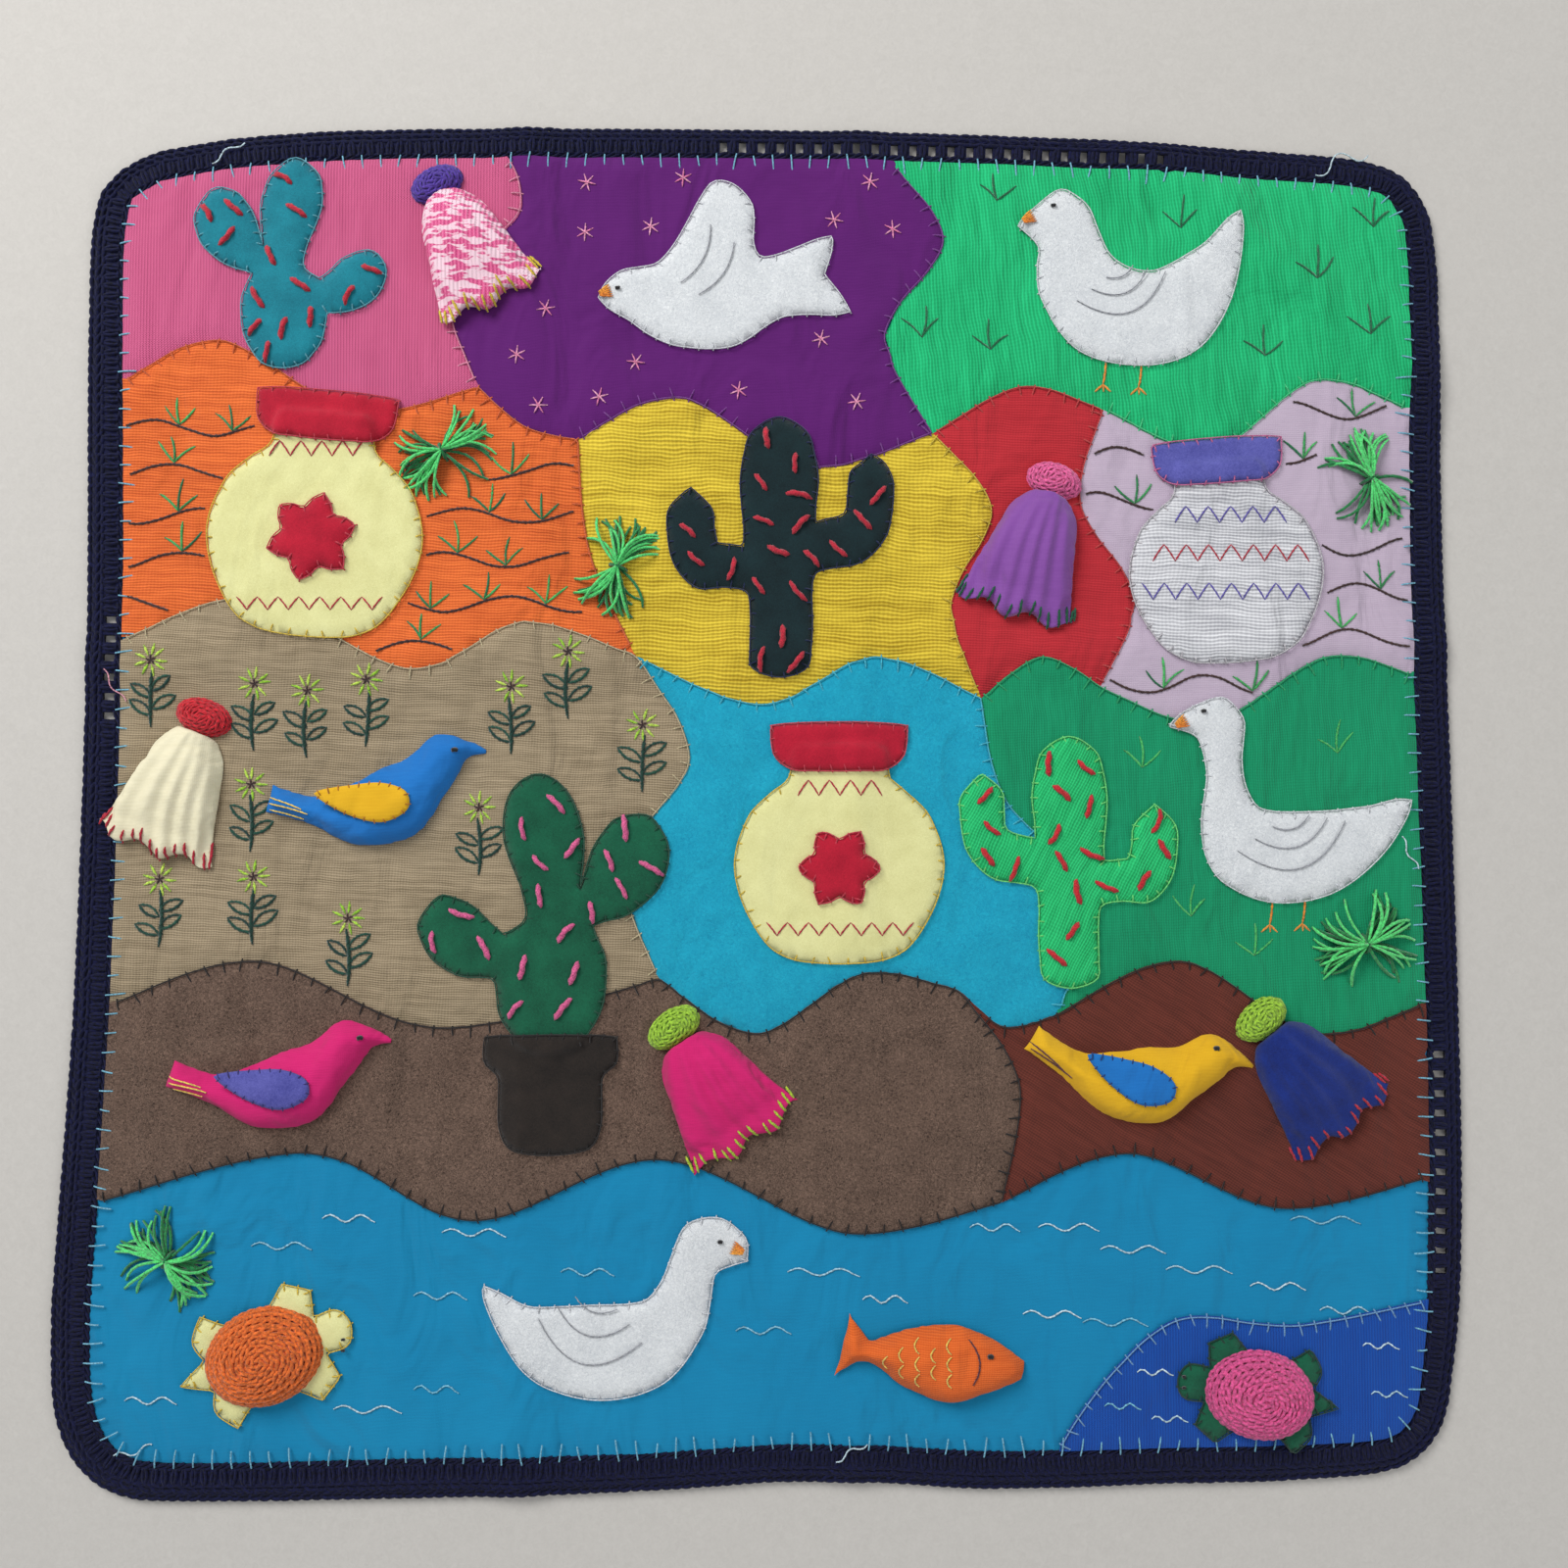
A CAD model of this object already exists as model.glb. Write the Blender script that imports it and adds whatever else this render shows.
import math
import random
from collections import namedtuple

import bmesh
import bpy
from mathutils import Matrix, Vector, geometry, kdtree, noise
from mathutils.bvhtree import BVHTree


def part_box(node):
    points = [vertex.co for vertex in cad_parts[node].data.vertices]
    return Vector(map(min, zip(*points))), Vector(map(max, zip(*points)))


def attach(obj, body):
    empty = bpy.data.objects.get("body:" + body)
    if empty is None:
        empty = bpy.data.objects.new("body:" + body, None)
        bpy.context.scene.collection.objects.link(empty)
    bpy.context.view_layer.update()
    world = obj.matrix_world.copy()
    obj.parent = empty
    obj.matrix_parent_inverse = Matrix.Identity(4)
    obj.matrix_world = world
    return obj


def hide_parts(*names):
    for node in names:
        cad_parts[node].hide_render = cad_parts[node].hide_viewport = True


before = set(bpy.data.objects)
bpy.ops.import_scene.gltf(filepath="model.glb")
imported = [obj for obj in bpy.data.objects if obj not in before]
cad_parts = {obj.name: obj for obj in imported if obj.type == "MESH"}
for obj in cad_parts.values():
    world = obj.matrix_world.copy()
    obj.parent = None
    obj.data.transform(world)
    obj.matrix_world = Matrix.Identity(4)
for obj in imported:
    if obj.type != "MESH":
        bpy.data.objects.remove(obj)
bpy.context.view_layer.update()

# Ground cloth.
# One square of plain turquoise cotton under all the rest, left bare as the pond along the bottom.
# It keeps four soft storage folds and lies in slow ripples, which everything sewn to it follows.
MM = 0.001
Fold = namedtuple("Fold", "x0 y0 x1 y1 height half_width")
FOLDS = (
    Fold(-78.65, -260.7, -78.65, 259.3, 1.6, 13),
    Fold(32.35, -260.7, 34.35, 259.3, 1.1, 11),
    Fold(85.35, 259.3, 261.35, 117.3, 2.2, 16),
    Fold(-258.65, 46.3, 261.35, 53.3, 1.2, 12),
)
GROUND_TOP = 1.2
PATCH_LOW = 1.53
PATCH_TOP = 2.53
RIPPLE = 0.5
WRINKLE = 0.55


def fold_lift(x, y):
    """How far the folds raise the cloth at a point, in mm."""
    raised = 0.0
    for fold in FOLDS:
        along_x, along_y = fold.x1 - fold.x0, fold.y1 - fold.y0
        length = math.hypot(along_x, along_y)
        across = abs((x - fold.x0) * along_y - (y - fold.y0) * along_x) / length
        if across < fold.half_width:
            raised += fold.height * (1 - across / fold.half_width)
    return raised


def lay(x, y):
    """The height that folds and ripples add to every layer of cloth at a point, in mm."""
    slow = noise.noise(Vector((x / 60, y / 46, 3.1)))
    quick = noise.noise(Vector((x / 21, y / 26, 8.4)))
    crease = 1 - abs(noise.noise(Vector((x / 34, y / 58, 5.7)))) * 3.2
    waves = RIPPLE * (0.5 + slow) + WRINKLE * (0.5 + 0.6 * quick)
    return fold_lift(x, y) + waves + 0.35 * max(0.0, crease)


def outline_of(node, back=False):
    """The outline of a CAD piece's flat top, or of its flat back, in mm, counter-clockwise."""
    bm = bmesh.new()
    bm.from_mesh(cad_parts[node].data)
    bmesh.ops.remove_doubles(bm, verts=bm.verts[:], dist=1e-6)
    after = {}
    for face in bm.faces:
        if face.normal.z * (-1 if back else 1) < 0.8:
            continue
        for loop in face.loops:
            beyond = [other.normal.z for other in loop.edge.link_faces if other is not face]
            if beyond and (beyond[0] > -0.5 if back else abs(beyond[0]) < 0.5):
                start, end = loop.vert.index, loop.link_loop_next.vert.index
                after[end if back else start] = start if back else end
    first = next(iter(after))
    order = [first]
    while after[order[-1]] != first:
        order.append(after[order[-1]])
    bm.verts.ensure_lookup_table()
    places = [bm.verts[index].co.xy for index in order]
    bm.free()
    if back:
        return [place / MM for place in places]
    ring = [place * 1000 for place in places]
    kept = [ring[0]]
    for index, point in enumerate(ring[1:], 1):
        before, following = ring[index - 1], ring[(index + 1) % len(ring)]
        chord = following - before
        off = abs((point - before).cross(chord)) / max(chord.length, 1e-6)
        if off > 0.06 or (point - kept[-1]).length > 5.0:
            kept.append(point)
    return kept


def smooth_run(points, closed, step):
    """Points about `step` apart on a smooth curve through the points given."""
    count = len(points)
    found = []
    for index in range(count if closed else count - 1):
        near = (index + k for k in (-1, 0, 1, 2))
        before, start, end, after = (points[k % count if closed else min(max(k, 0), count - 1)] for k in near)
        steps = max(1, round((end - start).length / step))
        for part in range(steps):
            t = part / steps
            bend = (2 * before - 5 * start + 4 * end - after) * t**2
            twist = (3 * start - before - 3 * end + after) * t**3
            found.append(start + 0.5 * ((end - before) * t + bend + twist))
    if not closed:
        found.append(points[-1])
    return found


def smooth_outline(ring, step, corner=52):
    """A cut edge drawn smoothly through the ring, keeping its sharp corners."""
    corners = []
    for index, point in enumerate(ring):
        before = point - ring[index - 1]
        after = ring[(index + 1) % len(ring)] - point
        if math.degrees(before.angle(after)) > corner:
            corners.append(index)
    if not corners:
        return smooth_run(ring, True, step)
    found = []
    for place, start in enumerate(corners):
        end = corners[(place + 1) % len(corners)]
        span = (end - start) % len(ring) or len(ring)
        run = [ring[(start + k) % len(ring)] for k in range(span + 1)]
        found.extend(smooth_run(run, False, step)[:-1])
    return found


def tree_of(ring):
    """The points of a ring, ready to be searched."""
    found = kdtree.KDTree(len(ring))
    for index, point in enumerate(ring):
        found.insert((point.x, point.y, 0), index)
    found.balance()
    return found


def spread(ring, distance):
    """The ring moved outwards by `distance`, or inwards where it is negative."""
    moved = []
    for index, point in enumerate(ring):
        before = (point - ring[index - 1]).normalized()
        after = (ring[(index + 1) % len(ring)] - point).normalized()
        outward = Vector((before.y + after.y, -before.x - after.x)).normalized()
        share = max(0.5, outward.dot(Vector((before.y, -before.x))))
        moved.append(point + outward * distance / share)
    return moved


def piece_from(name, mesh, slot, *nodes):
    """Links a finished mesh as a piece that rides on the textile."""
    piece = bpy.data.objects.new(name, mesh)
    bpy.context.scene.collection.objects.link(piece)
    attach(piece, "root")
    if nodes:
        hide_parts(*nodes)
    return piece


def laid_sheet(name, ring, low, top, grid, material, puff=0.0, pucker=0.0, stitch=6.0, edge=0.5,
               flat_back=False, settled=True, drawn_by=(), sunk=None):
    """A closed sheet inside the ring: its top ripples, puckers at its stitches and rolls down at its edge."""
    left, right = min(p.x for p in ring), max(p.x for p in ring)
    near, far = min(p.y for p in ring), max(p.y for p in ring)
    rim = tree_of(ring)
    along = [0.0]
    for index, point in enumerate(ring):
        along.append(along[-1] + (ring[(index + 1) % len(ring)] - point).length)
    rng = random.Random(name)
    inner = []
    for row in range(int((far - near) / grid) + 1):
        for column in range(int((right - left) / grid) + 1):
            x = left + (column + 0.5 * (row % 2) + 0.3 * rng.random()) * grid
            y = near + (row + 0.3 * rng.random()) * grid
            if rim.find((x, y, 0))[2] > grid * 0.55:
                inner.append(Vector((x, y)))
    count = len(ring)
    links = [(index, (index + 1) % count) for index in range(count)]
    flat, _, faces, _, _, _ = geometry.delaunay_2d_cdt(ring + inner, links, [list(range(count))], 1, 1e-4)
    bm = bmesh.new()
    lower, upper = [], []
    for point in flat:
        _, nearest, away = rim.find((point.x, point.y, 0))
        raised = lay(point.x, point.y) if settled else 0.0
        if sunk:
            raised -= sunk(point.x, point.y)
        fade = math.exp(-away / 2.2)
        drawn = pucker * fade * (0.5 + 0.5 * math.cos(2 * math.pi * along[nearest] / stitch))
        roll = edge * max(0.0, 1 - away / 0.9) ** 2
        fill = puff * (1 - math.exp(-away / 4.0))
        for other in drawn_by:
            _, place, off = other.find((point.x, point.y, 0))
            if off < 14:
                fill += 0.32 * math.exp(-off / 5.0) * math.sin(place * 1.15)
        upper.append(bm.verts.new((point.x, point.y, top + raised + fill - drawn - roll)))
        back = fold_lift(point.x, point.y) if flat_back else raised
        lower.append(bm.verts.new((point.x, point.y, low + back)))
    for face in faces:
        bm.faces.new([upper[index] for index in face])
        bm.faces.new([lower[index] for index in reversed(face)])
    tops = {vert: index for index, vert in enumerate(upper)}
    for joint in [side for side in bm.edges if side.is_boundary and side.verts[0] in tops]:
        a, b = (tops[vert] for vert in joint.verts)
        if joint.link_loops[0].vert is upper[a]:
            a, b = b, a
        bm.faces.new((upper[a], upper[b], lower[b], lower[a]))
    mesh = bpy.data.meshes.new(name)
    bm.to_mesh(mesh)
    bm.free()
    mesh.transform(Matrix.Scale(MM, 4))
    if material:
        mesh.materials.append(material)
    mesh.shade_smooth()
    if settled:
        mesh.set_sharp_from_angle(angle=math.radians(60))
    return mesh


def colour(red, green, blue):
    """A dyed colour given as it looks, turned to light."""
    parts = [part / 255 for part in (red, green, blue)]
    return tuple(p / 12.92 if p <= 0.04045 else ((p + 0.055) / 1.055) ** 2.4 for p in parts) + (1.0,)


def node(tree, kind, inputs=None, **settings):
    """Adds a node, sets it, and links or fills its sockets."""
    made = tree.nodes.new(kind)
    for key, value in settings.items():
        setattr(made, key, value)
    for key, value in (inputs or {}).items():
        if isinstance(value, bpy.types.NodeSocket):
            tree.links.new(value, made.inputs[key])
        else:
            made.inputs[key].default_value = value
    return made


def fabric(name, roughness, sheen):
    """A new cloth material: its tree, its shader and the place on the object."""
    material = bpy.data.materials.new(name)
    material.use_nodes = True
    tree = material.node_tree
    shader = tree.nodes["Principled BSDF"]
    shader.inputs["Roughness"].default_value = roughness
    shader.inputs["Sheen Weight"].default_value = sheen
    shader.inputs["Sheen Roughness"].default_value = 0.6
    shader.inputs["Specular IOR Level"].default_value = 0.15
    place = node(tree, "ShaderNodeTexCoord").outputs["Object"]
    return material, tree, shader, place


def noise_at(tree, place, scale, detail, **inputs):
    """Noise over the object."""
    given = {"Vector": place, "Scale": scale, "Detail": detail, **inputs}
    return node(tree, "ShaderNodeTexNoise", given).outputs["Fac"]


def maths(tree, operation, *values, **settings):
    """One sum of values and sockets."""
    return node(tree, "ShaderNodeMath", dict(enumerate(values)), operation=operation, **settings).outputs[0]


def streaks(tree, place, scale, stretch_x, stretch_y, detail=1.0):
    """Noise drawn out along the threads."""
    mapped = node(tree, "ShaderNodeMapping", {"Vector": place, "Scale": (stretch_x, stretch_y, 0.15)})
    return noise_at(tree, mapped.outputs[0], scale, detail, Roughness=0.6)


def thread_lines(tree, place, pitch, direction):
    """Threads side by side, `pitch` mm apart and a little uneven."""
    scale = 0.314 / (pitch * MM)
    given = {"Vector": place, "Scale": scale, "Distortion": 1.6, "Detail": 2.0, "Detail Scale": 1.2}
    return node(tree, "ShaderNodeTexWave", given, bands_direction=direction).outputs["Fac"]


def relief(tree, shader, place, height, strength, depth, crease):
    """Raises the threads, over soft creases `crease` mm deep where the cloth was pulled and folded."""
    slant = {"Vector": place, "Rotation": (0.0, 0.0, 0.6), "Scale": (1.0, 0.5, 1.0)}
    slanted = node(tree, "ShaderNodeMapping", slant).outputs[0]
    soft = noise_at(tree, slanted, 44.0, 2.5, Roughness=0.5, Distortion=0.9)
    creases = {"Height": soft, "Strength": 1.0, "Distance": crease * MM}
    creased = node(tree, "ShaderNodeBump", creases).outputs[0]
    threads = {"Height": height, "Strength": strength, "Distance": depth * MM, "Normal": creased}
    tree.links.new(node(tree, "ShaderNodeBump", threads).outputs[0], shader.inputs["Normal"])


def blend_of(tree, factor, first, second):
    """A colour between two others."""
    return node(tree, "ShaderNodeMix", {0: factor, 6: first, 7: second}, data_type="RGBA").outputs[2]


def spread_of(tree, value, low, high, start=0.0, end=1.0, **settings):
    """A value from low to high, stretched to start and end."""
    given = {"Value": value, "From Min": low, "From Max": high, "To Min": start, "To Max": end}
    return node(tree, "ShaderNodeMapRange", given, **settings).outputs[0]


def tint(tree, shader, factor, dark, light):
    """Gives the cloth its colour, from dark to light."""
    tree.links.new(blend_of(tree, factor, dark, light), shader.inputs["Base Color"])


def woven(name, light, dark, pitch, contrast=0.5, down=0.4, roughness=0.92, sheen=0.07, grain=2.0):
    """Plain weave: even threads across and fainter ones down, turned by `grain` degrees."""
    material, tree, shader, place = fabric(name, roughness, sheen)
    drift = node(tree, "ShaderNodeTexNoise", {"Vector": place, "Scale": 45.0, "Detail": 2.0}).outputs["Color"]
    moved = {0: drift, 1: (pitch * 4 * MM,) * 3, 2: place}
    drifted = node(tree, "ShaderNodeVectorMath", moved, operation="MULTIPLY_ADD").outputs[0]
    turned = {"Vector": drifted, "Rotation": (0.0, 0.0, math.radians(grain))}
    laid = node(tree, "ShaderNodeMapping", turned).outputs[0]
    weft = thread_lines(tree, laid, pitch, "Y")
    warp = thread_lines(tree, laid, pitch * 1.15, "X")
    slub = streaks(tree, laid, 1 / (pitch * 1.6 * MM), 0.1, 1.0)
    lines = maths(tree, "MULTIPLY_ADD", warp, down, weft)
    threads = maths(tree, "MULTIPLY_ADD", slub, 1.5, lines)
    middle = 0.5 * (2.5 + down)
    faded = spread_of(tree, noise_at(tree, place, 26.0, 3.0), 0.3, 0.7, 0.42, 0.58)
    drawn = spread_of(tree, threads, middle - 0.8, middle + 0.8, -contrast / 2, contrast / 2)
    tint(tree, shader, maths(tree, "ADD", drawn, faded, use_clamp=True), colour(*dark), colour(*light))
    relief(tree, shader, place, lines, 0.3 + 0.5 * contrast, pitch * 0.2, 4.6)
    return material


turquoise = woven("turquoise_cotton", (20, 142, 186), (8, 108, 152), 0.45, 0.2)
ground_ring = smooth_outline(outline_of("ground_cloth"), 2.6)
ground_mesh = laid_sheet("ground_cloth_cotton", ground_ring, 0.0, GROUND_TOP, 3.4, turquoise, pucker=0.25,
                         stitch=6.4, edge=0.3, flat_back=True)
ground = piece_from("ground_cloth_cotton", ground_mesh, "turquoise_cotton", "ground_cloth")

# Field patches.
# Thirteen pieces of cotton, gauze, jersey, tweed and fleece, cut on wavy lines and sewn to the ground
# edge to edge. Each is drawn in a little by the stitches round it and stands up between them.


def felted(name, light, dark, grain, loft, mottle=0.5, sheen=0.12, crease=1.2):
    """Felt or brushed cloth: a mat of short fibres with no thread lines."""
    material, tree, shader, place = fabric(name, 0.97, sheen)
    fine = noise_at(tree, place, 1 / (grain * MM), 5.0, Roughness=0.75, Distortion=1.2)
    mixed = maths(tree, "MULTIPLY_ADD", noise_at(tree, place, 120.0, 3.0), mottle, fine)
    factor = spread_of(tree, mixed, 0.35 + mottle * 0.4, 0.65 + mottle * 0.6)
    tint(tree, shader, factor, colour(*dark), colour(*light))
    relief(tree, shader, place, fine, 0.9, loft, crease)
    return material


def knitted(name, light, dark, rib, second=None):
    """Fine knit: upright ribs of small loops, with dashes of a second dye."""
    material, tree, shader, place = fabric(name, 0.9, 0.1)
    apart = node(tree, "ShaderNodeSeparateXYZ", {0: place}).outputs
    turn = 2 * math.pi / (rib * MM)
    rib_wave = maths(tree, "SINE", maths(tree, "MULTIPLY", apart[0], turn))
    slant = maths(tree, "MULTIPLY_ADD", rib_wave, 0.35 * rib * MM, apart[1])
    row_wave = maths(tree, "SINE", maths(tree, "MULTIPLY", slant, turn * 1.3))
    loops = maths(tree, "MULTIPLY_ADD", row_wave, 0.6, rib_wave)
    worn = streaks(tree, place, 1 / (rib * 4 * MM), 1.0, 0.15)
    loops = maths(tree, "MULTIPLY_ADD", worn, 1.6, loops)
    shade = blend_of(tree, spread_of(tree, loops, -0.9, 2.4), colour(*dark), colour(*light))
    if second:
        dashes = streaks(tree, place, 1 / (1.4 * rib * MM), 0.3, 1.0, 2.0)
        shade = blend_of(tree, spread_of(tree, dashes, 0.47, 0.53), shade, colour(*second))
    tree.links.new(shade, shader.inputs["Base Color"])
    relief(tree, shader, place, loops, 0.7, rib * 0.25, 4.0)
    return material


Field = namedtuple("Field", "node slot material pitch puff thread")
FIELDS = (
    Field("pool_patch", "royal_jersey",
          knitted("royal_jersey", (16, 86, 180), (8, 58, 144), 0.9), 5.0, 0.2, (120, 170, 215)),
    Field("bank_patch", "brown_tweed",
          felted("brown_tweed", (128, 104, 90), (34, 25, 21), 0.62, 0.14, 0.12, 0.04, 4.6),
          6.2, 0.25, (24, 16, 14)),
    Field("maroon_patch", "maroon_gauze",
          woven("maroon_gauze", (116, 56, 44), (60, 26, 21), 0.8, 0.6, 0.5, grain=32), 6.0, 0.2,
          (34, 16, 12)),
    Field("tan_patch", "tan_gauze",
          woven("tan_gauze", (174, 156, 128), (108, 94, 72), 0.8, 0.85, 0.45), 6.4, 0.25, (206, 190, 152)),
    Field("fleece_patch", "cyan_fleece",
          felted("cyan_fleece", (30, 172, 200), (10, 138, 172), 0.8, 0.4, 0.25, 0.1, 3.6), 5.6, 0.35,
          (70, 196, 220)),
    Field("emerald_patch", "emerald_muslin",
          woven("emerald_muslin", (24, 156, 108), (8, 112, 74), 0.8, 0.55, 0.4, grain=88), 5.8, 0.25,
          (30, 176, 112)),
    Field("orange_patch", "orange_gauze",
          woven("orange_gauze", (242, 122, 58), (176, 70, 30), 0.95, 0.85, 0.28), 5.6, 0.2, (226, 104, 48)),
    Field("pink_patch", "pink_jersey",
          knitted("pink_jersey", (216, 100, 144), (186, 76, 118), 1.0), 5.4, 0.3, (240, 150, 180)),
    Field("purple_patch", "purple_cotton",
          woven("purple_cotton", (100, 30, 114), (74, 16, 90), 0.5, 0.25), 5.6, 0.2, (130, 60, 150)),
    Field("yellow_patch", "yellow_gauze",
          woven("yellow_gauze", (234, 206, 66), (156, 126, 22), 1.25, 1.0, 0.28), 5.8, 0.2, (222, 194, 60)),
    Field("red_patch", "red_cotton",
          woven("red_cotton", (200, 50, 58), (152, 30, 40), 0.85, 0.55, 0.4), 5.2, 0.2, (206, 66, 66)),
    Field("green_patch", "green_gauze",
          woven("green_gauze", (38, 200, 128), (10, 138, 82), 1.1, 0.8, 0.22, grain=84), 5.8, 0.2,
          (70, 214, 140)),
    Field("lilac_patch", "lilac_cotton",
          woven("lilac_cotton", (198, 182, 198), (166, 148, 168), 0.6, 0.35), 5.8, 0.2, (216, 176, 186)),
)
SEWN_ON = (
    "white_duck", "white_goose", "white_dove", "white_hen", "jug_fleece", "jug_fleece_rim",
    "jug_fleece_blossom", "jug_orange", "jug_orange_rim", "jug_orange_blossom", "jug_lilac", "jug_lilac_rim",
    "cactus_yellow", "cactus_green", "cactus_pink", "cactus_tan", "cactus_tan_pot", "pond_turtle",
    "pool_turtle",
)
sewn_rings = {name: smooth_outline(outline_of(name), 1.3, corner=70) for name in SEWN_ON}
sewn_trees = [tree_of(ring) for ring in sewn_rings.values()]
field_rings = {}
ground_rim = tree_of(ground_ring)
for field in FIELDS:
    ring = smooth_outline(outline_of(field.node), 2.0)
    for index, point in enumerate(ring):
        found, _, away = ground_rim.find((point.x, point.y, 0))
        if away < 2.2:
            ring[index] = point.lerp(found.xy, 0.7)
    field_rings[field.node] = ring
    mesh = laid_sheet(field.node + "_cloth", spread(ring, 0.32), PATCH_LOW, PATCH_TOP, 3.0, field.material,
                      puff=field.puff, pucker=0.35, stitch=field.pitch, edge=0.45, drawn_by=sewn_trees)
    patch = piece_from(field.node + "_cloth", mesh, field.slot, field.node)

# Felt and fleece motifs.
# Birds of brushed white fleece, jugs of cream felt with felt rims, and cacti of felt, each cut by hand.
# They are thicker than the cloth below and softly rounded, with edges held down by small stitches.
Motif = namedtuple("Motif", "node slot material pitch thread")
white_fleece = felted("white_fleece", (236, 238, 238), (192, 196, 200), 0.75, 0.4, 0.2, 0.2, 2.0)
white_gauze = woven("white_gauze", (236, 236, 238), (150, 150, 156), 1.15, 0.95, 0.28)
cream_felt = felted("cream_felt", (228, 226, 164), (206, 202, 138), 0.5, 0.2, crease=2.0)
red_felt = felted("red_felt", (192, 26, 52), (150, 12, 38), 0.5, 0.2)
lavender_felt = felted("lavender_felt", (98, 98, 176), (64, 66, 140), 0.8, 0.2)
black_felt = felted("black_felt", (18, 44, 48), (6, 24, 28), 0.5, 0.2)
green_felt = felted("green_felt", (20, 100, 70), (8, 66, 46), 0.5, 0.2)
teal_felt = felted("teal_felt", (24, 134, 150), (10, 100, 116), 0.5, 0.2)
brown_felt = felted("brown_felt", (48, 40, 35), (24, 20, 18), 0.5, 0.2)
leaf_gauze = woven("leaf_gauze", (50, 206, 124), (12, 140, 76), 0.95, 0.85, 0.35, grain=-62)
MOTIFS = (
    Motif("white_duck", "white_fleece", white_fleece, 5.0, (232, 234, 238)),
    Motif("white_goose", "white_fleece", white_fleece, 5.0, (232, 234, 238)),
    Motif("white_dove", "white_fleece", white_fleece, 5.0, (232, 234, 238)),
    Motif("white_hen", "white_fleece", white_fleece, 5.0, (232, 234, 238)),
    Motif("jug_fleece", "cream_felt", cream_felt, 6.0, (234, 200, 66)),
    Motif("jug_fleece_rim", "red_felt", red_felt, 4.8, (214, 60, 80)),
    Motif("jug_fleece_blossom", "red_felt", red_felt, 4.2, (214, 60, 80)),
    Motif("jug_orange", "cream_felt", cream_felt, 6.0, (234, 200, 66)),
    Motif("jug_orange_rim", "red_felt", red_felt, 4.8, (214, 60, 80)),
    Motif("jug_orange_blossom", "red_felt", red_felt, 4.2, (214, 60, 80)),
    Motif("jug_lilac", "white_fleece", white_gauze, 5.2, (214, 210, 214)),
    Motif("jug_lilac_rim", "lavender_felt", lavender_felt, 4.8, (214, 110, 160)),
    Motif("cactus_yellow", "black_felt", black_felt, 4.4, (16, 34, 78)),
    Motif("cactus_green", "green_gauze", leaf_gauze, 5.0, (120, 236, 130)),
    Motif("cactus_pink", "teal_felt", teal_felt, 4.4, (90, 170, 186)),
    Motif("cactus_tan", "green_felt", green_felt, 4.4, (10, 80, 56)),
    Motif("cactus_tan_pot", "brown_felt", brown_felt, 4.6, (28, 22, 20)),
    Motif("pond_turtle", "cream_felt", cream_felt, 4.8, (234, 200, 66)),
    Motif("pool_turtle", "green_felt", green_felt, 4.8, (10, 60, 44)),
)
LEVELS = (1.53, 2.86, 4.99)
LAPS = {
    "jug_fleece_rim": "jug_fleece",
    "jug_orange_rim": "jug_orange",
    "jug_lilac_rim": "jug_lilac",
    "cactus_tan_pot": "cactus_tan",
}


def inside(ring, x, y):
    """Whether a point lies inside a ring."""
    found = False
    for index, end in enumerate(ring):
        start = ring[index - 1]
        if (start.y > y) != (end.y > y):
            if x < (end.x - start.x) * (y - start.y) / (end.y - start.y) + start.x:
                found = not found
    return found


def sinking(ring):
    """How far a piece sinks to the field where it reaches past the ring of the piece below it, in mm."""
    rim = tree_of(ring)

    def sunk(x, y):
        away = rim.find((x, y, 0))[2]
        past = -away if inside(ring, x, y) else away
        share = min(1.0, max(0.0, (past + 0.8) / 3.2))
        return (LEVELS[2] - LEVELS[1]) * share * share * (3 - 2 * share)

    return sunk


sinks = {upper: sinking(sewn_rings[lower]) for upper, lower in LAPS.items()}
motif_rings = {}
for motif in MOTIFS:
    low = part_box(motif.node)[0].z / MM
    base = min(LEVELS, key=lambda level: abs(level - low + 0.15))
    ring = sewn_rings[motif.node]
    sunk = sinks.get(motif.node)
    motif_rings[motif.node] = (ring, base)
    mesh = laid_sheet(motif.node + "_cut", ring, base, base + 1.6, 1.3 if sunk else 2.2, motif.material,
                      puff=0.35, pucker=0.45, stitch=motif.pitch, edge=0.9, sunk=sunk)
    cut = piece_from(motif.node + "_cut", mesh, motif.slot, motif.node)

# Sewing thread along the cut edges.
# Each field and cut piece is held by short overcast stitches of one thin thread in its own colour.
# The stitches lean and vary in length, as hand sewing does, and stop where the border's stitches begin.


def grown(name, mesh, tree, settings):
    """Runs a node tree on a mesh and keeps what it makes as a plain mesh."""
    source = bpy.data.objects.new(name, mesh)
    bpy.context.scene.collection.objects.link(source)
    modifier = source.modifiers.new("grown", "NODES")
    modifier.node_group = tree
    sockets = {item.name: item.identifier for item in tree.interface.items_tree if item.item_type == "SOCKET"}
    for label, value in settings.items():
        modifier[sockets[label]] = value
    evaluated = source.evaluated_get(bpy.context.evaluated_depsgraph_get())
    made = bpy.data.meshes.new_from_object(evaluated)
    made.name = name
    bpy.data.objects.remove(source)
    made.shade_smooth()
    return made


def new_tree(name, inputs):
    """An empty geometry tree with named inputs: (name, kind, starting value)."""
    tree = bpy.data.node_groups.new(name, "GeometryNodeTree")
    for label, kind, value in (("Geometry", "Geometry", None), *inputs, ("Material", "Material", None)):
        socket = tree.interface.new_socket(label, in_out="INPUT", socket_type="NodeSocket" + kind)
        if value is not None:
            socket.default_value = value
    tree.interface.new_socket("Geometry", in_out="OUTPUT", socket_type="NodeSocketGeometry")
    return tree, tree.nodes.new("NodeGroupInput").outputs


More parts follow.
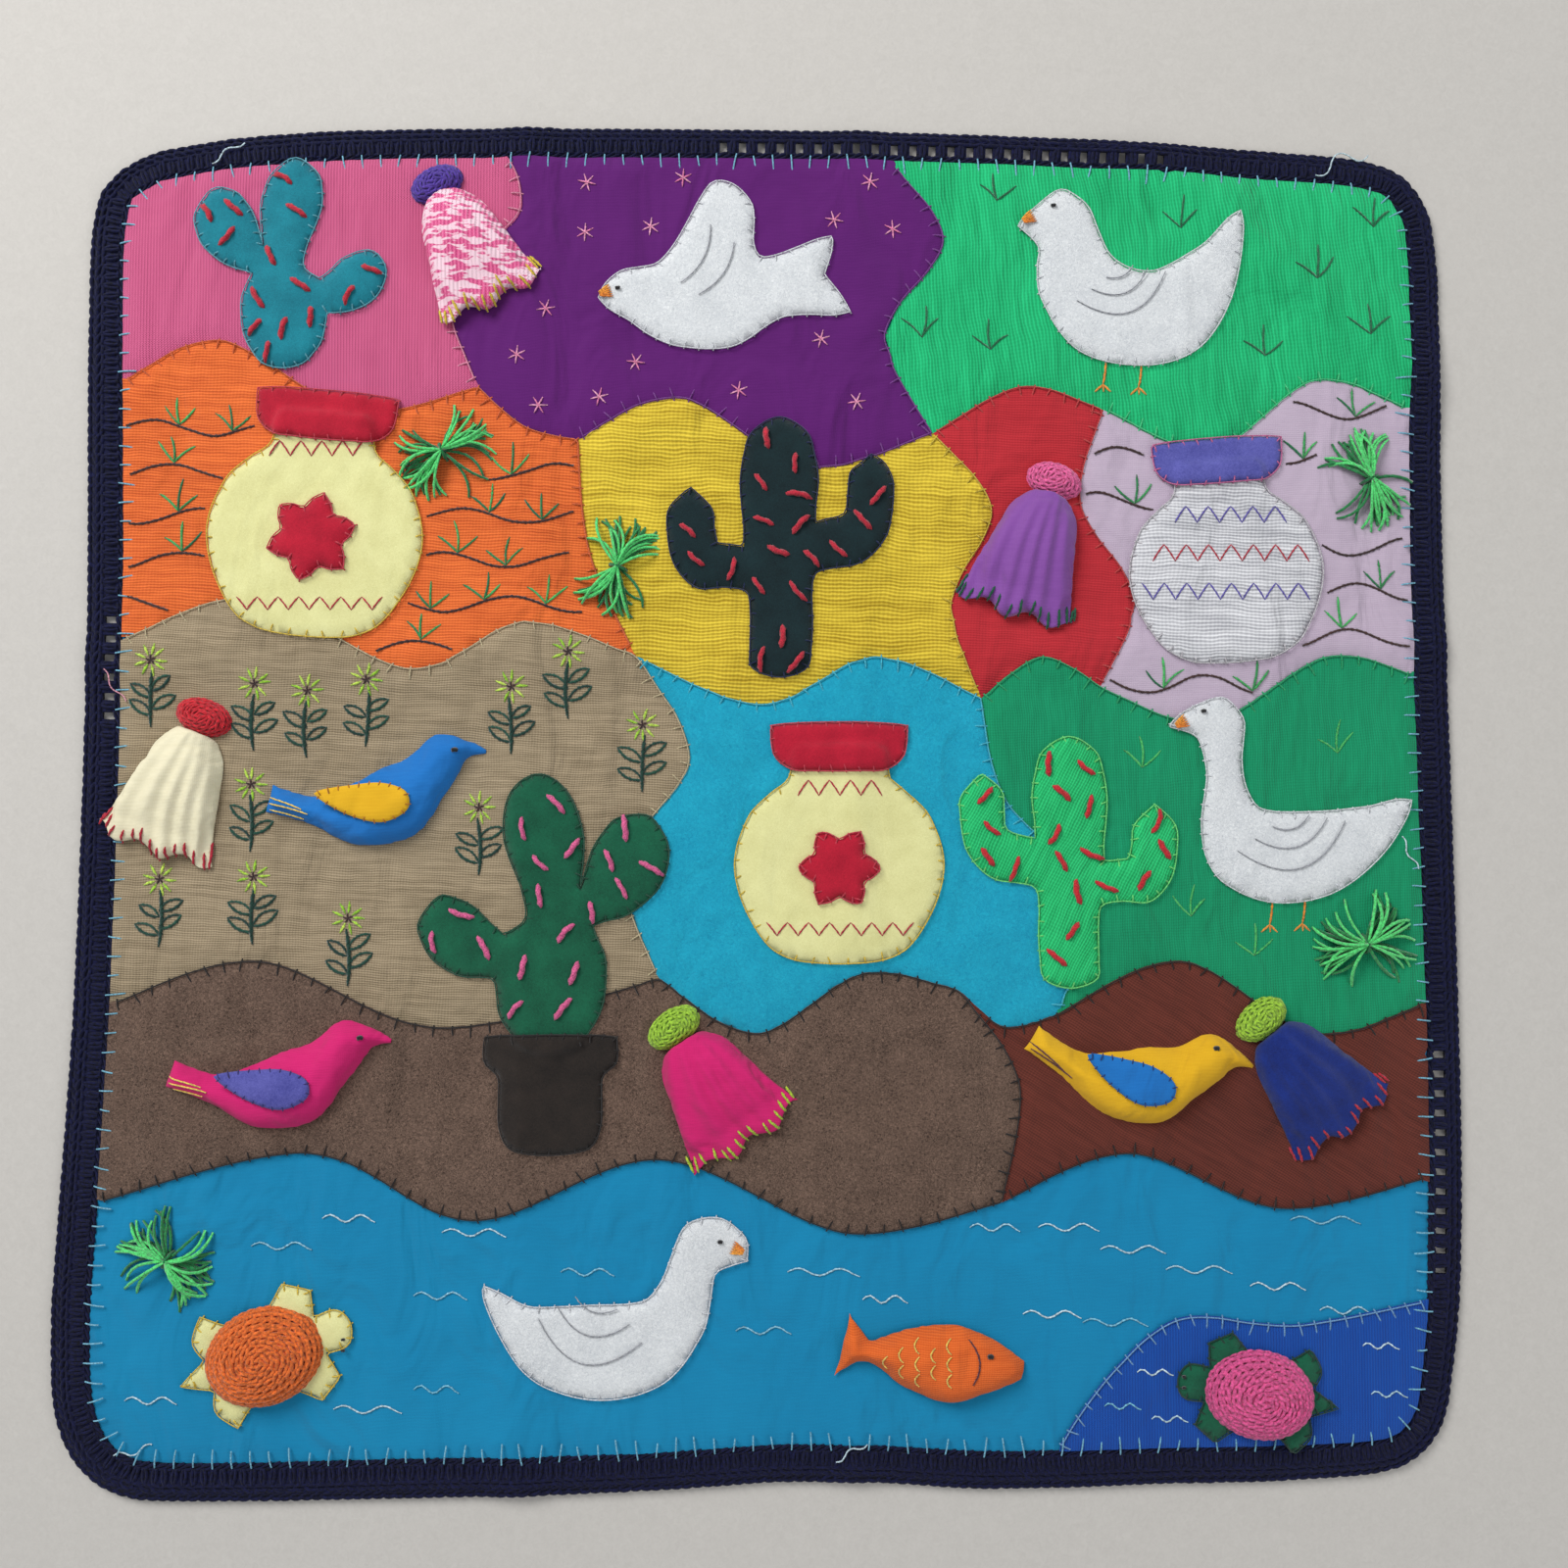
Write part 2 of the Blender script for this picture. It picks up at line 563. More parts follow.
def end_tree(tree, geometry, material):
    """Closes a tree: everything real, in one material."""
    real = node(tree, "GeometryNodeRealizeInstances", {"Geometry": geometry}).outputs[0]
    done = node(tree, "GeometryNodeSetMaterial", {"Geometry": real, "Material": material}).outputs[0]
    node(tree, "NodeGroupOutput", {"Geometry": done})


def swept(tree, curve, profile, scale=None):
    """Thread of a given section along curves, closed at its ends."""
    given = {"Curve": curve, "Profile Curve": profile, "Fill Caps": True}
    if scale:
        given["Scale"] = scale
    return node(tree, "GeometryNodeCurveToMesh", given).outputs[0]


def ring_of(tree, sides, radius):
    """The round section of a thread."""
    return node(tree, "GeometryNodeCurvePrimitiveCircle", {"Resolution": sides, "Radius": radius}).outputs[0]


def resampled(tree, curve, length):
    """A curve with points evenly apart."""
    given = {"Curve": curve, "Length": length}
    return node(tree, "GeometryNodeResampleCurve", given, mode="LENGTH").outputs[0]


def tube(tree, start, middle, end, yarn, steps, sides=5):
    """A short curved length of thread inside a tree."""
    given = {"Resolution": steps, "Start": start, "Middle": middle, "End": end}
    bent_line = node(tree, "GeometryNodeCurveQuadraticBezier", given).outputs[0]
    return swept(tree, bent_line, ring_of(tree, sides, yarn))


def vector_of(tree, x, y, z):
    """A vector put together from three values."""
    return node(tree, "ShaderNodeCombineXYZ", {0: x, 1: y, 2: z}).outputs[0]


def times(tree, value, factor):
    """A value multiplied."""
    return maths(tree, "MULTIPLY", value, factor)


def shaken(tree, low, high, seed, kind="FLOAT"):
    """A chance value for each stitch."""
    made = node(tree, "FunctionNodeRandomValue", {"Min": low, "Max": high, "Seed": seed}, data_type=kind)
    return made.outputs["Value" if kind == "FLOAT" else 0]


def turned_by(tree, rotation, turn):
    """A rotation turned further in its own frame."""
    given = {"Rotation": rotation, "Rotate By": turn}
    return node(tree, "FunctionNodeRotateRotation", given, rotation_space="LOCAL").outputs[0]


def set_out(tree, points, shape, rotation, scale):
    """One shape set on many points."""
    given = {"Points": points, "Instance": shape, "Rotation": rotation, "Scale": scale}
    return node(tree, "GeometryNodeInstanceOnPoints", given).outputs[0]


def edge_stitch_tree():
    """Stitches across an edge: each leg rises from outside it, bends over and goes in on the left of it."""
    tree, given = new_tree("edge stitches", (
        ("Spacing", "Float", 0.0058),
        ("Leg", "Float", 0.0032),
        ("Outside", "Float", 0.0006),
        ("Rise", "Float", 0.0008),
        ("Thread", "Float", 0.00025),
        ("Lean", "Float", 0.25),
        ("Edge Line", "Bool", False),
        ("Seed", "Int", 0),
    ))
    curve = node(tree, "GeometryNodeMeshToCurve", {"Mesh": given["Geometry"]}).outputs[0]
    ply = ring_of(tree, 4, times(tree, given["Thread"], 0.9))
    edge = swept(tree, resampled(tree, curve, 0.002), ply)
    chosen = {"Switch": given["Edge Line"], "True": edge}
    line = node(tree, "GeometryNodeSwitch", chosen, input_type="GEOMETRY").outputs[0]
    spaced = {"Curve": curve, "Length": given["Spacing"]}
    spots = node(tree, "GeometryNodeCurveToPoints", spaced, mode="LENGTH")
    outside = times(tree, given["Outside"], -1.0)
    start = vector_of(tree, 0.0, outside, times(tree, given["Rise"], -1.0))
    middle = vector_of(tree, 0.0, times(tree, given["Leg"], 0.25), given["Rise"])
    end = vector_of(tree, 0.0, given["Leg"], times(tree, given["Thread"], -1.4))
    leg = tube(tree, start, middle, end, given["Thread"], 4)
    along = {"Vector": spots.outputs["Tangent"]}
    facing = node(tree, "FunctionNodeAlignRotationToVector", along, axis="X", pivot_axis="Z").outputs[0]
    lean = shaken(tree, times(tree, given["Lean"], -1.0), given["Lean"], given["Seed"])
    turn = node(tree, "FunctionNodeAxisAngleToRotation", {"Axis": (0.0, 0.0, 1.0), "Angle": lean}).outputs[0]
    uneven = shaken(tree, (1.0, 0.7, 0.85), (1.0, 1.25, 1.15), given["Seed"], "FLOAT_VECTOR")
    placed = set_out(tree, spots.outputs["Points"], leg, turned_by(tree, facing, turn), uneven)
    both = node(tree, "GeometryNodeJoinGeometry")
    tree.links.new(placed, both.inputs[0])
    tree.links.new(line, both.inputs[0])
    end_tree(tree, both.outputs[0], given["Material"])
    return tree


def fibres(tree, place, fine):
    """Light and dark along the fibres of a yarn."""
    return noise_at(tree, place, 1 / (fine * MM), 3.0, Roughness=0.7)


def spun(name, light, dark, fuzz=0.2, fine=0.5):
    """Thread or yarn: lighter and darker along its fibres."""
    material, tree, shader, place = fabric(name, 0.85, fuzz)
    fibre = fibres(tree, place, fine)
    tint(tree, shader, spread_of(tree, fibre, 0.35, 0.65), dark, light)
    bump = node(tree, "ShaderNodeBump", {"Height": fibre, "Strength": 0.6, "Distance": 0.1 * MM})
    tree.links.new(bump.outputs[0], shader.inputs["Normal"])
    return material


def thread_of(name, red, green, blue, **settings):
    """Yarn of one dye."""
    dark = (red * 0.62, green * 0.62, blue * 0.62)
    return spun(name, colour(red, green, blue), colour(*dark), **settings)


def polyline_mesh(name, runs):
    """Runs of points in mm as a mesh of edges: (points, closed)."""
    points = []
    edges = []
    for run, closed in runs:
        first = len(points)
        points.extend(run)
        edges.extend((first + k, first + k + 1) for k in range(len(run) - 1))
        if closed:
            edges.append((len(points) - 1, first))
    mesh = bpy.data.meshes.new(name)
    mesh.from_pydata([tuple(part * MM for part in point) for point in points], edges, [])
    return mesh


def rim_runs(ring, height, taken, sunk=None):
    """The parts of a ring not yet sewn, at the height of the cloth there."""
    free = [all(tree.find((p.x, p.y, 0))[2] > 1.9 for tree in taken) for p in ring]
    spots = [(p.x, p.y, height + lay(p.x, p.y) - (sunk(p.x, p.y) if sunk else 0)) for p in ring]
    if all(free):
        return [(spots, True)]
    start = free.index(False)
    runs = []
    run = []
    for step in range(1, len(ring) + 1):
        place = (start + step) % len(ring)
        if free[place]:
            run.append(spots[place])
        else:
            if len(run) > 3:
                runs.append((run, False))
            run = []
    return runs


def sew_edge(name, runs, slot, thread, spacing, leg, outside, rise, thick, lean, seed, line=False):
    """Overcasts along runs of points in mm, with a thread laid along the edge where `line` is true."""
    piece_from(name, grown(name, polyline_mesh("rim", runs), edge_stitches, {
        "Spacing": spacing * MM,
        "Leg": leg * MM,
        "Outside": outside * MM,
        "Rise": rise * MM,
        "Thread": thick * MM,
        "Lean": lean,
        "Edge Line": line,
        "Seed": seed,
        "Material": thread,
    }), slot)


edge_stitches = edge_stitch_tree()
sewn = [tree_of(ground_ring)]
for seed, field in enumerate(FIELDS):
    ring = field_rings[field.node]
    runs = rim_runs(ring, PATCH_TOP + 0.1, sewn)
    sewn.append(tree_of(ring))
    if not runs:
        continue
    thread = thread_of(field.slot + "_thread", *field.thread)
    sew_edge(field.node + "_stitches", runs, field.slot, thread,
             field.pitch, 3.4, 0.9, 0.75, 0.27, 0.3, seed, line=True)
for seed, motif in enumerate(MOTIFS, 40):
    ring, base = motif_rings[motif.node]
    thread = thread_of(motif.node + "_thread", *motif.thread)
    runs = rim_runs(spread(ring, 0.2), base + 1.1, (), sinks.get(motif.node))
    sew_edge(motif.node + "_stitches", runs, motif.slot, thread,
             motif.pitch, 3.2, 0.3, 1.35, 0.26, 0.35, seed, line=True)

# Crocheted border.
# Dark navy yarn worked round the cloth: a rail along its edge, open posts, then two rows of chain with a
# scalloped rim. Pale blue blanket stitches over the rail hold it to the cloth.
border_cad = bmesh.new()
border_cad.from_mesh(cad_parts["crochet_border"].data)
bmesh.ops.remove_doubles(border_cad, verts=border_cad.verts[:], dist=1e-6)
border_shape = BVHTree.FromBMesh(border_cad)


def top_of(shape, x, y):
    """The height of a shape at a point, in mm, or None where it is open."""
    hit = shape.ray_cast(Vector((x * MM, y * MM, 0.05)), Vector((0, 0, -1)))[0]
    return hit.z / MM if hit else None


def even_run(ring, step):
    """A closed ring walked in equal steps: points and the directions there."""
    lengths = [(ring[(k + 1) % len(ring)] - p).length for k, p in enumerate(ring)]
    total = sum(lengths)
    count = round(total / step)
    found = []
    index = 0
    walked = 0.0
    for number in range(count):
        target = total * number / count
        while walked + lengths[index] < target:
            walked += lengths[index]
            index += 1
        share = (target - walked) / max(lengths[index], 1e-9)
        start, end = ring[index], ring[(index + 1) % len(ring)]
        found.append((start.lerp(end, share), (end - start).normalized()))
    return found


def border_row(near, share):
    """A ring in the border, `near` mm from the cloth's edge and on by a share of the solid chain's width."""
    row = []
    for (place, along), wide in zip(edge_places, edge_widths):
        outward = Vector((along.y, -along.x))
        row.append(place + outward * (near + (wide - 6.3) * share))
    return row


edge_places = even_run(ground_ring, 3.25)
edge_widths = []
for place, along in edge_places:
    outward = Vector((along.y, -along.x, 0))
    start = place.to_3d() + outward * 40
    hit = None
    for level in (1.6, 2.4, 3.2, 1.0):
        hit = border_shape.ray_cast((start + Vector((0, 0, level))) * MM, -outward)[0]
        if hit:
            break
    wide = (hit.xy / MM - place).dot(outward.xy) if hit else 10.0
    edge_widths.append(min(14.0, max(8.0, wide)))
count = len(edge_widths)
edge_widths = [sum(edge_widths[(k + off) % count] for off in range(-2, 3)) / 5 for k in range(count)]


def stored(tree, label, kind):
    """What a point was given."""
    return node(tree, "GeometryNodeInputNamedAttribute", {"Name": label}, data_type=kind).outputs[0]


def loop_tree():
    """Crochet stitches on points: each is two strands that part and meet, along `facing`, upright to `up`."""
    tree, given = new_tree("crochet loops", (
        ("Long", "Float", 0.0036),
        ("Wide", "Float", 0.0011),
        ("High", "Float", 0.0007),
        ("Yarn", "Float", 0.0006),
        ("Seed", "Int", 0),
    ))
    half = times(tree, given["Long"], 0.5)
    tail = times(tree, given["Long"], -0.5)
    sunk = times(tree, given["High"], -0.6)
    strands = node(tree, "GeometryNodeJoinGeometry")
    for side in (1.0, -1.0):
        wide = times(tree, given["Wide"], side)
        start = vector_of(tree, tail, times(tree, given["Wide"], side * 0.25), sunk)
        middle = vector_of(tree, 0.0, times(tree, wide, 1.35), given["High"])
        end = vector_of(tree, half, times(tree, wide, 0.5), sunk)
        tree.links.new(tube(tree, start, middle, end, given["Yarn"], 4), strands.inputs[0])
    upright, facing = (stored(tree, label, "FLOAT_VECTOR") for label in ("up", "facing"))
    axes = {"Primary Axis": upright, "Secondary Axis": facing}
    turned = node(tree, "FunctionNodeAxesToRotation", axes, primary_axis="Z", secondary_axis="X").outputs[0]
    loose = shaken(tree, (-0.1, -0.1, -0.14), (0.1, 0.1, 0.14), given["Seed"], "FLOAT_VECTOR")
    turned = turned_by(tree, turned, node(tree, "FunctionNodeEulerToRotation", {"Euler": loose}).outputs[0])
    placed = set_out(tree, given["Geometry"], strands.outputs[0], turned, stored(tree, "size", "FLOAT"))
    end_tree(tree, placed, given["Material"])
    return tree


def spots_mesh(name, spots):
    """Points with a direction, an upright and a size: (place in mm, facing, up, size)."""
    mesh = bpy.data.meshes.new(name)
    mesh.from_pydata([tuple(part * MM for part in spot[0]) for spot in spots], [], [])
    for label, kind, column in (("facing", "FLOAT_VECTOR", 1), ("up", "FLOAT_VECTOR", 2)):
        store = mesh.attributes.new(label, kind, "POINT")
        store.data.foreach_set("vector", [part for spot in spots for part in spot[column]])
    store = mesh.attributes.new("size", "FLOAT", "POINT")
    store.data.foreach_set("value", [spot[3] for spot in spots])
    return mesh


def crochet(name, spots, material, slot, long, wide, high, yarn, seed):
    """Works one stitch on each spot; sizes in mm."""
    piece_from(name, grown(name, spots_mesh("spots", spots), crochet_loops, {
        "Long": long * MM,
        "Wide": wide * MM,
        "High": high * MM,
        "Yarn": yarn * MM,
        "Seed": seed,
        "Material": material,
    }), slot)


crochet_loops = loop_tree()
navy = spun("navy_crochet", colour(17, 21, 62), colour(4, 5, 20), fuzz=0.06, fine=0.9)
for vert in border_cad.verts:
    x, y, z = vert.co / MM
    rise = fold_lift(x, y)
    vert.co.z = (rise + (z - rise) * 0.72) * MM
border_mesh = bpy.data.meshes.new("border_core")
border_cad.to_mesh(border_mesh)
border_cad.free()
border_mesh.materials.append(navy)
border_mesh.shade_smooth()
border_mesh.set_sharp_from_angle(angle=math.radians(50))
piece_from("border_core", border_mesh, "navy_crochet", "crochet_border")
BorderRow = namedtuple("BorderRow", "name near share pitch turn sink long wide high yarn")
BORDER_ROWS = (
    BorderRow("border_rail", 1.15, 0.0, 2.9, 20, 0.5, 3.7, 0.8, 0.5, 0.54),
    BorderRow("border_posts", 4.15, 0.0, 3.25, 90, 0.5, 5.0, 0.75, 0.35, 0.58),
    BorderRow("border_chain", 6.5, 0.28, 3.4, -8, 0.75, 4.6, 1.15, 0.75, 0.68),
    BorderRow("border_rim", 6.5, 0.8, 3.4, 12, 0.75, 4.6, 1.2, 0.75, 0.72),
)
UP = (0.0, 0.0, 1.0)
for seed, row in enumerate(BORDER_ROWS):
    spots = []
    turn = Matrix.Rotation(math.radians(row.turn), 2)
    for place, along in even_run(border_row(row.near, row.share), row.pitch):
        top = top_of(border_shape, place.x, place.y)
        if top is None:
            continue
        facing = turn @ along
        spots.append(((place.x, place.y, top - row.sink), (facing.x, facing.y, 0.0), UP, 1.0))
    crochet(row.name, spots, navy, "navy_crochet", row.long, row.wide, row.high, row.yarn, seed)
pale_thread = thread_of("pale_blue_thread", 128, 196, 222)
blanket_run = [(p.x, p.y, 2.5 + lay(p.x, p.y)) for p in spread(ground_ring, -0.4)]
sew_edge("blanket_stitches", [(blanket_run, True)], "turquoise_cotton", pale_thread,
         6.4, 4.0, 1.7, 0.7, 0.28, 0.2, 90)

# Stuffed bell flowers, birds and fish.
# Bells are gathered cotton, knit and felt round a light filling; the small birds and the fish are two layers
# sewn flat. All are sewn on by their backs, and simulated as cloth under the pressure of their filling.


def pillow(name, ring, base, grid, high_at, rim_high):
    """A closed double layer inside the ring: flat below, and above as high as `high_at` says."""
    mesh = laid_sheet(name, ring, 0.0, 1.0, grid, None, edge=0.0, settled=False)
    rim = tree_of(ring)
    for vert in mesh.vertices:
        x, y = vert.co.x / MM, vert.co.y / MM
        if vert.co.z < 0.5 * MM:
            vert.co.z = base * MM
        else:
            away = rim.find((x, y, 0))[2]
            vert.co.z = (base + max(rim_high, high_at(x, y, away))) * MM
    return mesh


Bell = namedtuple("Bell", "x y turn length hem slot material hem_yarn")
BELL_HIGH = 9.0
satin_purple = woven("purple_satin", (146, 86, 172), (106, 50, 134), 0.45, 0.25, 0.6, 0.6, 0.2)
magenta_cotton = woven("magenta_cotton", (226, 44, 122), (176, 18, 88), 0.5, 0.3)
cream_cotton = woven("cream_cotton", (240, 234, 206), (206, 196, 160), 0.45, 0.35)
navy_felt = felted("navy_felt", (24, 50, 134), (12, 28, 88), 0.5, 0.2)
pink_knit = knitted("pink_knit", (248, 128, 176), (206, 52, 118), 1.3, second=(250, 214, 226))
crimson_yarn = thread_of("crimson_yarn", 206, 40, 62)
lime_yarn = thread_of("lime_yarn", 196, 226, 60)
leaf_yarn = thread_of("leaf_yarn", 20, 96, 66)
rose_yarn = thread_of("rose_yarn", 238, 104, 158)
lemon_yarn = thread_of("lemon_yarn", 236, 206, 60)
BELLS = {
    "purple_bell": Bell(98.3, 103.3, -18, 42, 20, "purple_satin", satin_purple, leaf_yarn),
    "magenta_bell": Bell(-24.7, -79.7, 34, 40, 21, "magenta_cotton", magenta_cotton, lime_yarn),
    "cream_bell": Bell(-187.7, 23.3, -20, 42, 20, "cream_cotton", cream_cotton, crimson_yarn),
    "navy_bell": Bell(171.3, -76.7, 38, 40, 20, "navy_felt", navy_felt, crimson_yarn),
    "knit_bell": Bell(-106.7, 205.3, 26, 40, 19, "pink_knit", pink_knit, lemon_yarn),
}

def bell_outline(bell):
    """The bell's cut outline: a narrow neck, flared sides and a wavy hem."""
    sides = ((0.0, 0.27), (0.06, 0.44), (0.16, 0.58), (0.4, 0.72), (0.7, 0.86), (0.93, 1.0))
    right = [Vector((wide * bell.hem, -far * bell.length)) for far, wide in sides]
    hem = []
    for step in range(13):
        share = 1 - step / 6
        sag = 1.0 + 0.045 * math.cos(share * 8.5 + bell.turn) - 0.07 * share * share
        hem.append(Vector((share * bell.hem * 1.04, -sag * bell.length)))
    left = [Vector((-place.x, place.y)) for place in reversed(right)]
    turned = Matrix.Rotation(math.radians(bell.turn), 2)
    ring = [Vector((bell.x, bell.y)) + turned @ place for place in right + hem + left]
    ring.reverse()
    return smooth_outline(ring, 1.4, corner=60)


def bell_height(bell):
    """Gathers that run from the neck and open towards the hem."""
    turned = Matrix.Rotation(math.radians(-bell.turn), 2)
    shift = bell.turn * 0.7

    def high_at(x, y, away):
        place = turned @ Vector((x - bell.x, y - bell.y))
        far = min(1.0, max(0.0, -place.y / bell.length))
        half = bell.hem * (0.3 + 0.72 * far**0.6)
        across = max(-1.0, min(1.0, place.x / half))
        body = BELL_HIGH * (0.62 + 0.38 * math.sin(math.pi * min(1.0, far * 1.15 + 0.08)))
        arch = math.sqrt(max(0.0, 1 - across * across))
        waves = 4.6 * across + 0.35 * math.sin(5 * far + shift) + 0.5 * math.sin(3 * across + shift)
        fold = 0.5 + 0.5 * math.cos(math.pi * (waves * 1.15) + shift)
        deep = 0.14 + 0.2 * far
        drop = 0.3 * max(0.0, far - 0.72) / 0.28
        return body * arch * (1 - deep * (1 - fold)) * (1 - drop)

    return high_at


def animal_height(x, y, away):
    """A softly filled pillow: high in its broad parts and low in its narrow ones."""
    return 7.6 * (1 - math.exp(-away / 3.4))


Animal = namedtuple("Animal", "slot material")
blue_cloth = woven("blue_cotton", (38, 126, 202), (16, 90, 164), 0.45, 0.3)
yellow_cloth = woven("yellow_cotton", (238, 190, 42), (200, 146, 16), 0.45, 0.3)
orange_cloth = woven("orange_cotton", (238, 116, 50), (188, 76, 26), 0.7, 0.6)
ANIMALS = {
    "blue_bird": Animal("blue_cotton", blue_cloth),
    "yellow_bird": Animal("yellow_cotton", yellow_cloth),
    "magenta_bird": Animal("magenta_cotton", magenta_cotton),
    "orange_fish": Animal("orange_gauze", orange_cloth),
}


def filled(forms):
    """Simulates all the forms at ten times their size, as cloth pushed out from inside, held by its back."""
    joined = bmesh.new()
    counts = []
    for mesh in forms:
        joined.from_mesh(mesh)
        counts.append(len(mesh.vertices))
    work = bpy.data.meshes.new("filling")
    joined.to_mesh(work)
    joined.free()
    work.transform(Matrix.Scale(10, 4))
    holder = bpy.data.objects.new("filling", work)
    bpy.context.scene.collection.objects.link(holder)
    held = holder.vertex_groups.new(name="held")
    first = 0
    for count in counts:
        span = work.vertices[first:first + count]
        low = min(vert.co.z for vert in span)
        held.add([vert.index for vert in span if vert.co.z < low + 0.004], 1.0, "REPLACE")
        first += count
    start = [vert.co.copy() for vert in work.vertices]
    cloth = holder.modifiers.new("cloth", "CLOTH")
    cloth.settings.vertex_group_mass = "held"
    cloth.settings.quality = 5
    cloth.settings.mass = 0.3
    cloth.settings.use_pressure = True
    cloth.settings.uniform_pressure_force = 4.0
    cloth.settings.shrink_min = -0.06
    cloth.settings.effector_weights.gravity = 0.0
    cloth.collision_settings.use_collision = False
    cloth.point_cache.frame_start = 1
    cloth.point_cache.frame_end = 20
    for step in range(1, 21):
        bpy.context.scene.frame_set(step)
    shaped = holder.evaluated_get(bpy.context.evaluated_depsgraph_get()).to_mesh()
    for vert, before, after in zip(work.vertices, start, shaped.vertices):
        push = after.co - before
        if push.length > 0.012:
            push = push.normalized() * 0.012
        vert.co = before + push
    holder.modifiers.remove(cloth)
    bpy.context.scene.frame_set(1)
    first = 0
    for mesh, count in zip(forms, counts):
        for index in range(count):
            mesh.vertices[index].co = work.vertices[first + index].co / 10
        first += count
    bpy.data.objects.remove(holder)


def finer(mesh, softened):
    """Softens the small creases of a filled form and subdivides it once."""
    holder = bpy.data.objects.new("finer", mesh)
    bpy.context.scene.collection.objects.link(holder)
    even = holder.modifiers.new("even", "SMOOTH")
    even.factor = 0.5
    even.iterations = softened
    smooth = holder.modifiers.new("smooth", "SUBSURF")
    smooth.levels = 1
    smooth.render_levels = 1
    made = bpy.data.meshes.new_from_object(holder.evaluated_get(bpy.context.evaluated_depsgraph_get()))
    bpy.data.objects.remove(holder)
    made.shade_smooth()
    return made


stuffed = {}
stuffed_rings = {name: bell_outline(bell) for name, bell in BELLS.items()}
stuffed_rings |= {name: smooth_outline(outline_of(name, True), 1.2, corner=60) for name in ANIMALS}
for name, ring in stuffed_rings.items():
    height, rim_high = (bell_height(BELLS[name]), 0.8) if name in BELLS else (animal_height, 0.6)
    stuffed[name] = pillow(name, ring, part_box(name)[0].z / MM, 1.3, height, rim_high)
filled(list(stuffed.values()))
stuffed_shapes = {}
for name, made_of in (BELLS | ANIMALS).items():
    mesh = finer(stuffed[name], 1 if name in BELLS else 6)
    mesh.name = name + "_filled"
    shape = bmesh.new()
    shape.from_mesh(mesh)
    stuffed_shapes[name] = BVHTree.FromBMesh(shape)
    shape.free()
    mesh.materials.append(made_of.material)
    piece = piece_from(name + "_filled", mesh, made_of.slot, name)

# Wings on the small birds.
# A single layer of cotton or felt folded to a rounded blade. It lies on the stuffed body, caught down by
# short stitches along its edge.
Wing = namedtuple("Wing", "bird slot material thread")
WINGS = (
    Wing("blue_bird", "yellow_cotton", yellow_cloth, (196, 120, 20)),
    Wing("yellow_bird", "blue_cotton", blue_cloth, (20, 60, 130)),
    Wing("magenta_bird", "lavender_felt", lavender_felt, (54, 44, 120)),
)
for seed, wing in enumerate(WINGS, 70):
    node_name = wing.bird + "_wing"
    body = stuffed_shapes[wing.bird]
    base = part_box(node_name)[0].z / MM
    ring = smooth_outline(outline_of(node_name, True), 1.0, corner=75)
    mesh = laid_sheet(node_name + "_cut", ring, 0.0, 1.1, 1.2, wing.material,
                      puff=0.5, edge=0.35, settled=False)
    for vert in mesh.vertices:
        under = top_of(body, vert.co.x / MM, vert.co.y / MM) or base - 0.6
        vert.co.z += (max(under, base - 1.2) + 0.15) * MM
    piece = piece_from(node_name + "_cut", mesh, wing.slot, node_name)
    run = [(p.x, p.y, max(top_of(body, p.x, p.y) or base - 0.6, base - 1.2) + 1.15) for p in ring]
    thread = thread_of(node_name + "_thread", *wing.thread)
    sew_edge(node_name + "_stitches", [(run, True)], wing.slot, thread, 3.6, 1.8, 0.4, 0.6, 0.22, 0.3, seed)

# Crocheted caps and turtle shells.
# Small cups of double-thick yarn, crocheted in rounds from the middle and sewn down by their last round.


def crocheted_cup(node_name, material, slot, pitch, yarn):
    """Rounds of loops over a plain cup of the same yarn."""
    low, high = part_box(node_name)
    low, high = low / MM, high / MM
    rim = smooth_run(outline_of(node_name, True), True, 1.0)
    middle = Vector((sum(p.x for p in rim), sum(p.y for p in rim))) / len(rim)
    tall = high.z - low.z - yarn
    core = bmesh.new()
    rings = []
    for level in range(7):
        angle = math.pi / 2 * level / 6.4
        share, rise = math.cos(angle) * 0.94, math.sin(angle)
        places = [middle + (p - middle) * share for p in rim[::2]]
        rings.append([core.verts.new((p.x * MM, p.y * MM, (low.z + tall * rise) * MM)) for p in places])
    for lower, upper in zip(rings, rings[1:]):
        for k in range(len(lower)):
            after = (k + 1) % len(lower)
            core.faces.new((lower[k], lower[after], upper[after], upper[k]))
    core.faces.new(list(reversed(rings[0])))
    core.faces.new(rings[-1])
    mesh = bpy.data.meshes.new(node_name + "_core")
    core.to_mesh(mesh)
    core.free()
    mesh.materials.append(material)
    mesh.shade_smooth()
    piece_from(node_name + "_core", mesh, slot, node_name)
    reach = sum((p - middle).length for p in rim) / len(rim)
    rounds = max(3, round(math.pi / 2 * (reach + tall) / 2 / (pitch * 0.85)))
    spots = []
    for number in range(rounds):
        angle = math.pi / 2 * (number + 0.35) / rounds
        share, rise = math.cos(angle), math.sin(angle)
        ring = [middle + (p - middle) * share for p in rim]
        for place, along in even_run(ring, pitch):
            outward = Vector((along.y, -along.x, 0)) * max(0.15, share) + Vector((0, 0, 0.3 + rise))
            lean = Matrix.Rotation(0.35, 2) @ along
            spot = (place.x, place.y, low.z + tall * rise + 0.1)
            spots.append((spot, (lean.x, lean.y, -0.2 * share), tuple(outward.normalized()), 1.0))
    crochet(node_name + "_loops", spots, material, slot,
            pitch * 1.35, pitch * 0.36, yarn * 1.1, yarn, len(spots))


